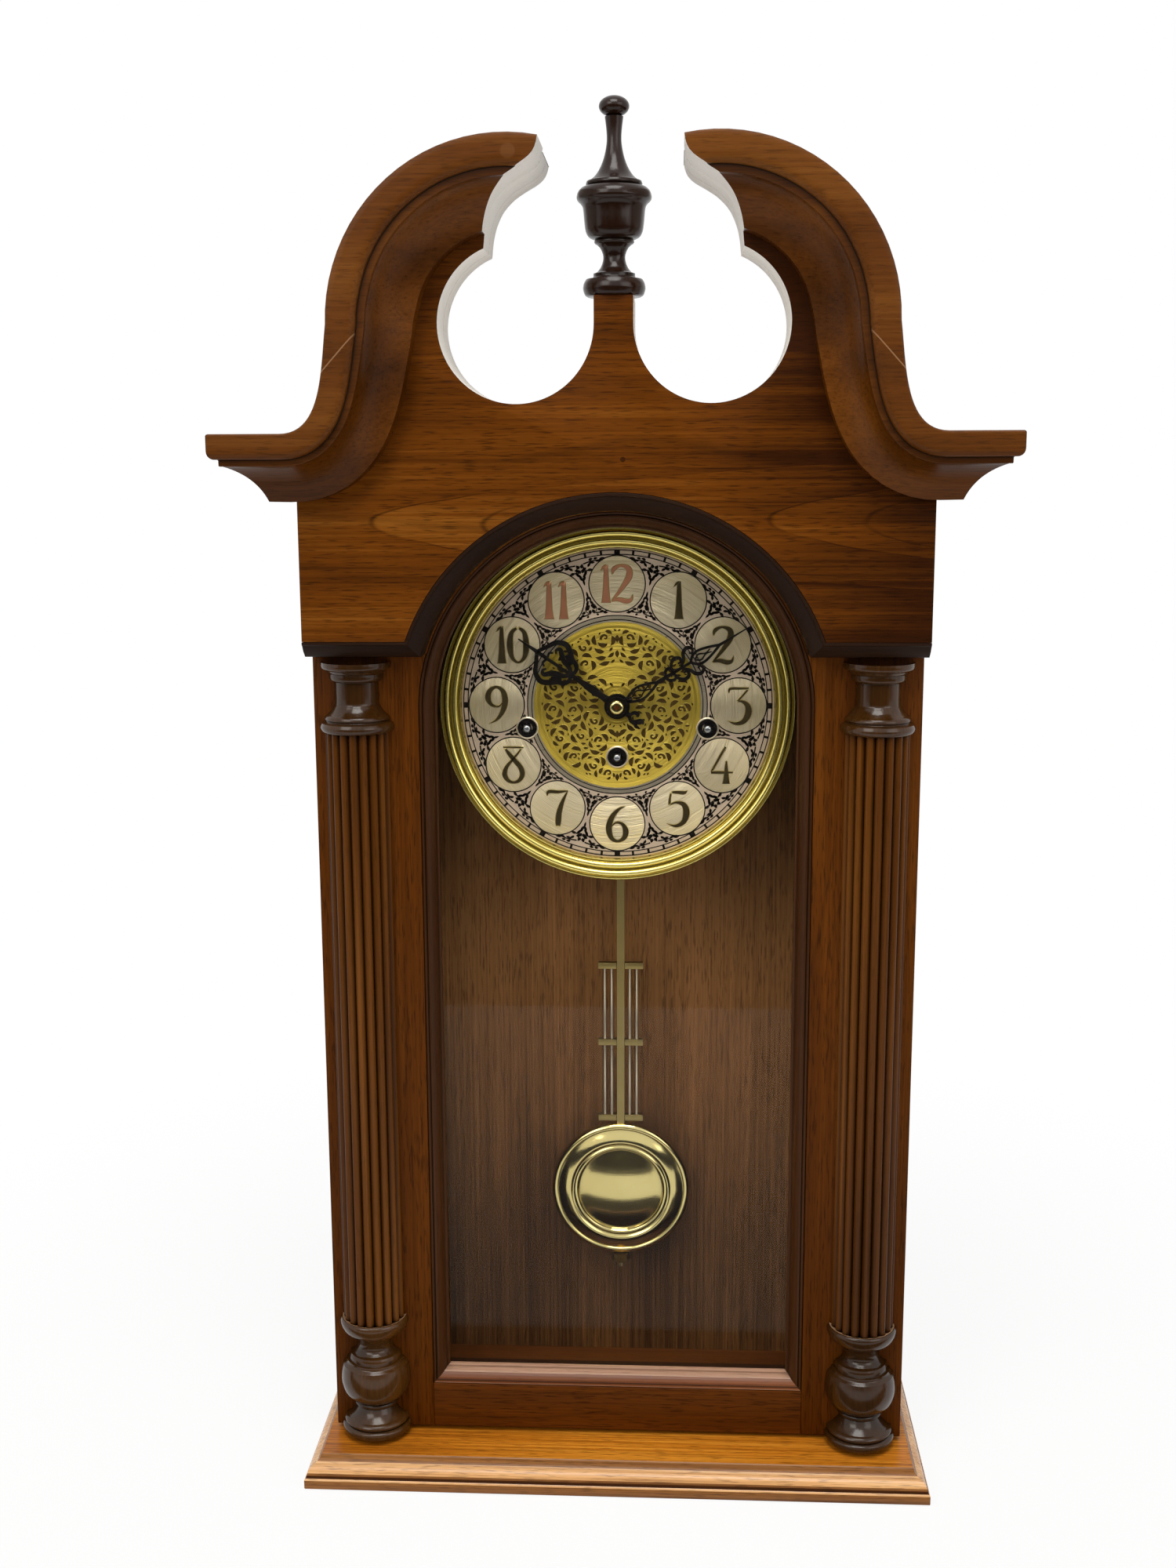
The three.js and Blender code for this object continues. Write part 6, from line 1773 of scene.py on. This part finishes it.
def makeCards():
    c = card
    material, tree, dark, _ = startMaterial("darkCard")
    setShader(dark, Base_Color=c["shade"], Roughness=1.0)
    bounced = maths(tree, "GREATER_THAN", put(tree, "ShaderNodeLightPath").outputs["Glossy Depth"], 0.5)
    mixSurface(tree, bounced, put(tree, "ShaderNodeBsdfTransparent"), dark)
    bm = bmesh.new()
    corners = ((c["near"], c["low"]), (c["away"], c["low"]), (c["away"], c["height"]))
    layGrid(bm, [[(-c["half"], y, z), (c["half"], y, z)] for y, z in corners])
    places = (c["footNear"], c["footFar"])
    layGrid(bm, [[(-c["footHalf"], y, c["low"]), (c["footHalf"], y, c["low"])] for y in places])
    holder = stagePiece("studioCards", bm, material)
    holder.visible_camera = False
    holder.visible_diffuse = False
    holder.visible_shadow = False


studioLight = dict(colour=(1, 0.98, 0.95, 1), strength=0.36)


def makeWorld():
    world = bpy.data.worlds.new("studioWorld")
    scene.world = world
    world.use_nodes = True
    tree = world.node_tree
    ambient = put(
        tree, "ShaderNodeBackground", {"Color": studioLight["colour"], "Strength": studioLight["strength"]}
    )
    white = put(tree, "ShaderNodeBackground", {"Color": (1, 1, 1, 1), "Strength": 1.0})
    mix = put(tree, "ShaderNodeMixShader", {0: seenRays(tree), 1: ambient.outputs[0], 2: white.outputs[0]})
    tree.links.new(mix.outputs[0], tree.nodes["World Output"].inputs["Surface"])


lamps = {
    "lampFrontLeft": dict(at=(-1.2, -1.8, 1.7), aim=(0, 0, 0.4), size=1.2, power=17, colour=(1, 0.97, 0.92)),
    "lampFrontRight": dict(at=(1.5, -1.5, 1.2), aim=(0, 0, 0.4), size=1.2, power=8, colour=(1, 0.98, 0.95)),
    "lampTop": dict(at=(0, -0.9, 2.1), aim=(0, -0.1, 0.2), size=1.0, power=24, colour=(1, 0.99, 0.96)),
}


def makeLamps():
    for name, lamp in lamps.items():
        light = bpy.data.lights.new(name, "AREA")
        light.shape = "SQUARE"
        light.size = lamp["size"]
        light.energy = lamp["power"]
        light.color = lamp["colour"]
        holder = bpy.data.objects.new(name, light)
        holder.location = lamp["at"]
        aim = Vector(lamp["aim"]) - Vector(lamp["at"])
        holder.rotation_euler = aim.to_track_quat("-Z", "Y").to_euler()
        scene.collection.objects.link(holder)


# Angles in degrees, lens in millimetres on a 36 mm high sensor
view = dict(at=(0.03436, -1.00248, 0.61444), yaw=-2.957, pitch=10.472, roll=-0.24, lens=39.23, sensor=36)


def makeCamera():
    yaw = radians(view["yaw"])
    pitch = radians(view["pitch"])
    roll = radians(view["roll"])
    ahead = Vector((sin(yaw) * cos(pitch), cos(yaw) * cos(pitch), -sin(pitch)))
    right = Vector((cos(yaw), -sin(yaw), 0))
    up = right.cross(ahead)
    tiltedRight = right * cos(roll) + up * sin(roll)
    tiltedUp = up * cos(roll) - right * sin(roll)
    data = bpy.data.cameras.new("photoView")
    data.sensor_fit = "VERTICAL"
    data.sensor_height = view["sensor"]
    data.lens = view["lens"]
    camera = bpy.data.objects.new("photoView", data)
    columns = Matrix((tiltedRight, tiltedUp, -ahead)).transposed()
    camera.matrix_world = Matrix.Translation(view["at"]) @ columns.to_4x4()
    scene.collection.objects.link(camera)
    scene.camera = camera


makeStage()
makeCards()
makeWorld()
makeLamps()
makeCamera()
scene.view_settings.view_transform = "Standard"
print("stage, lamps and camera set")
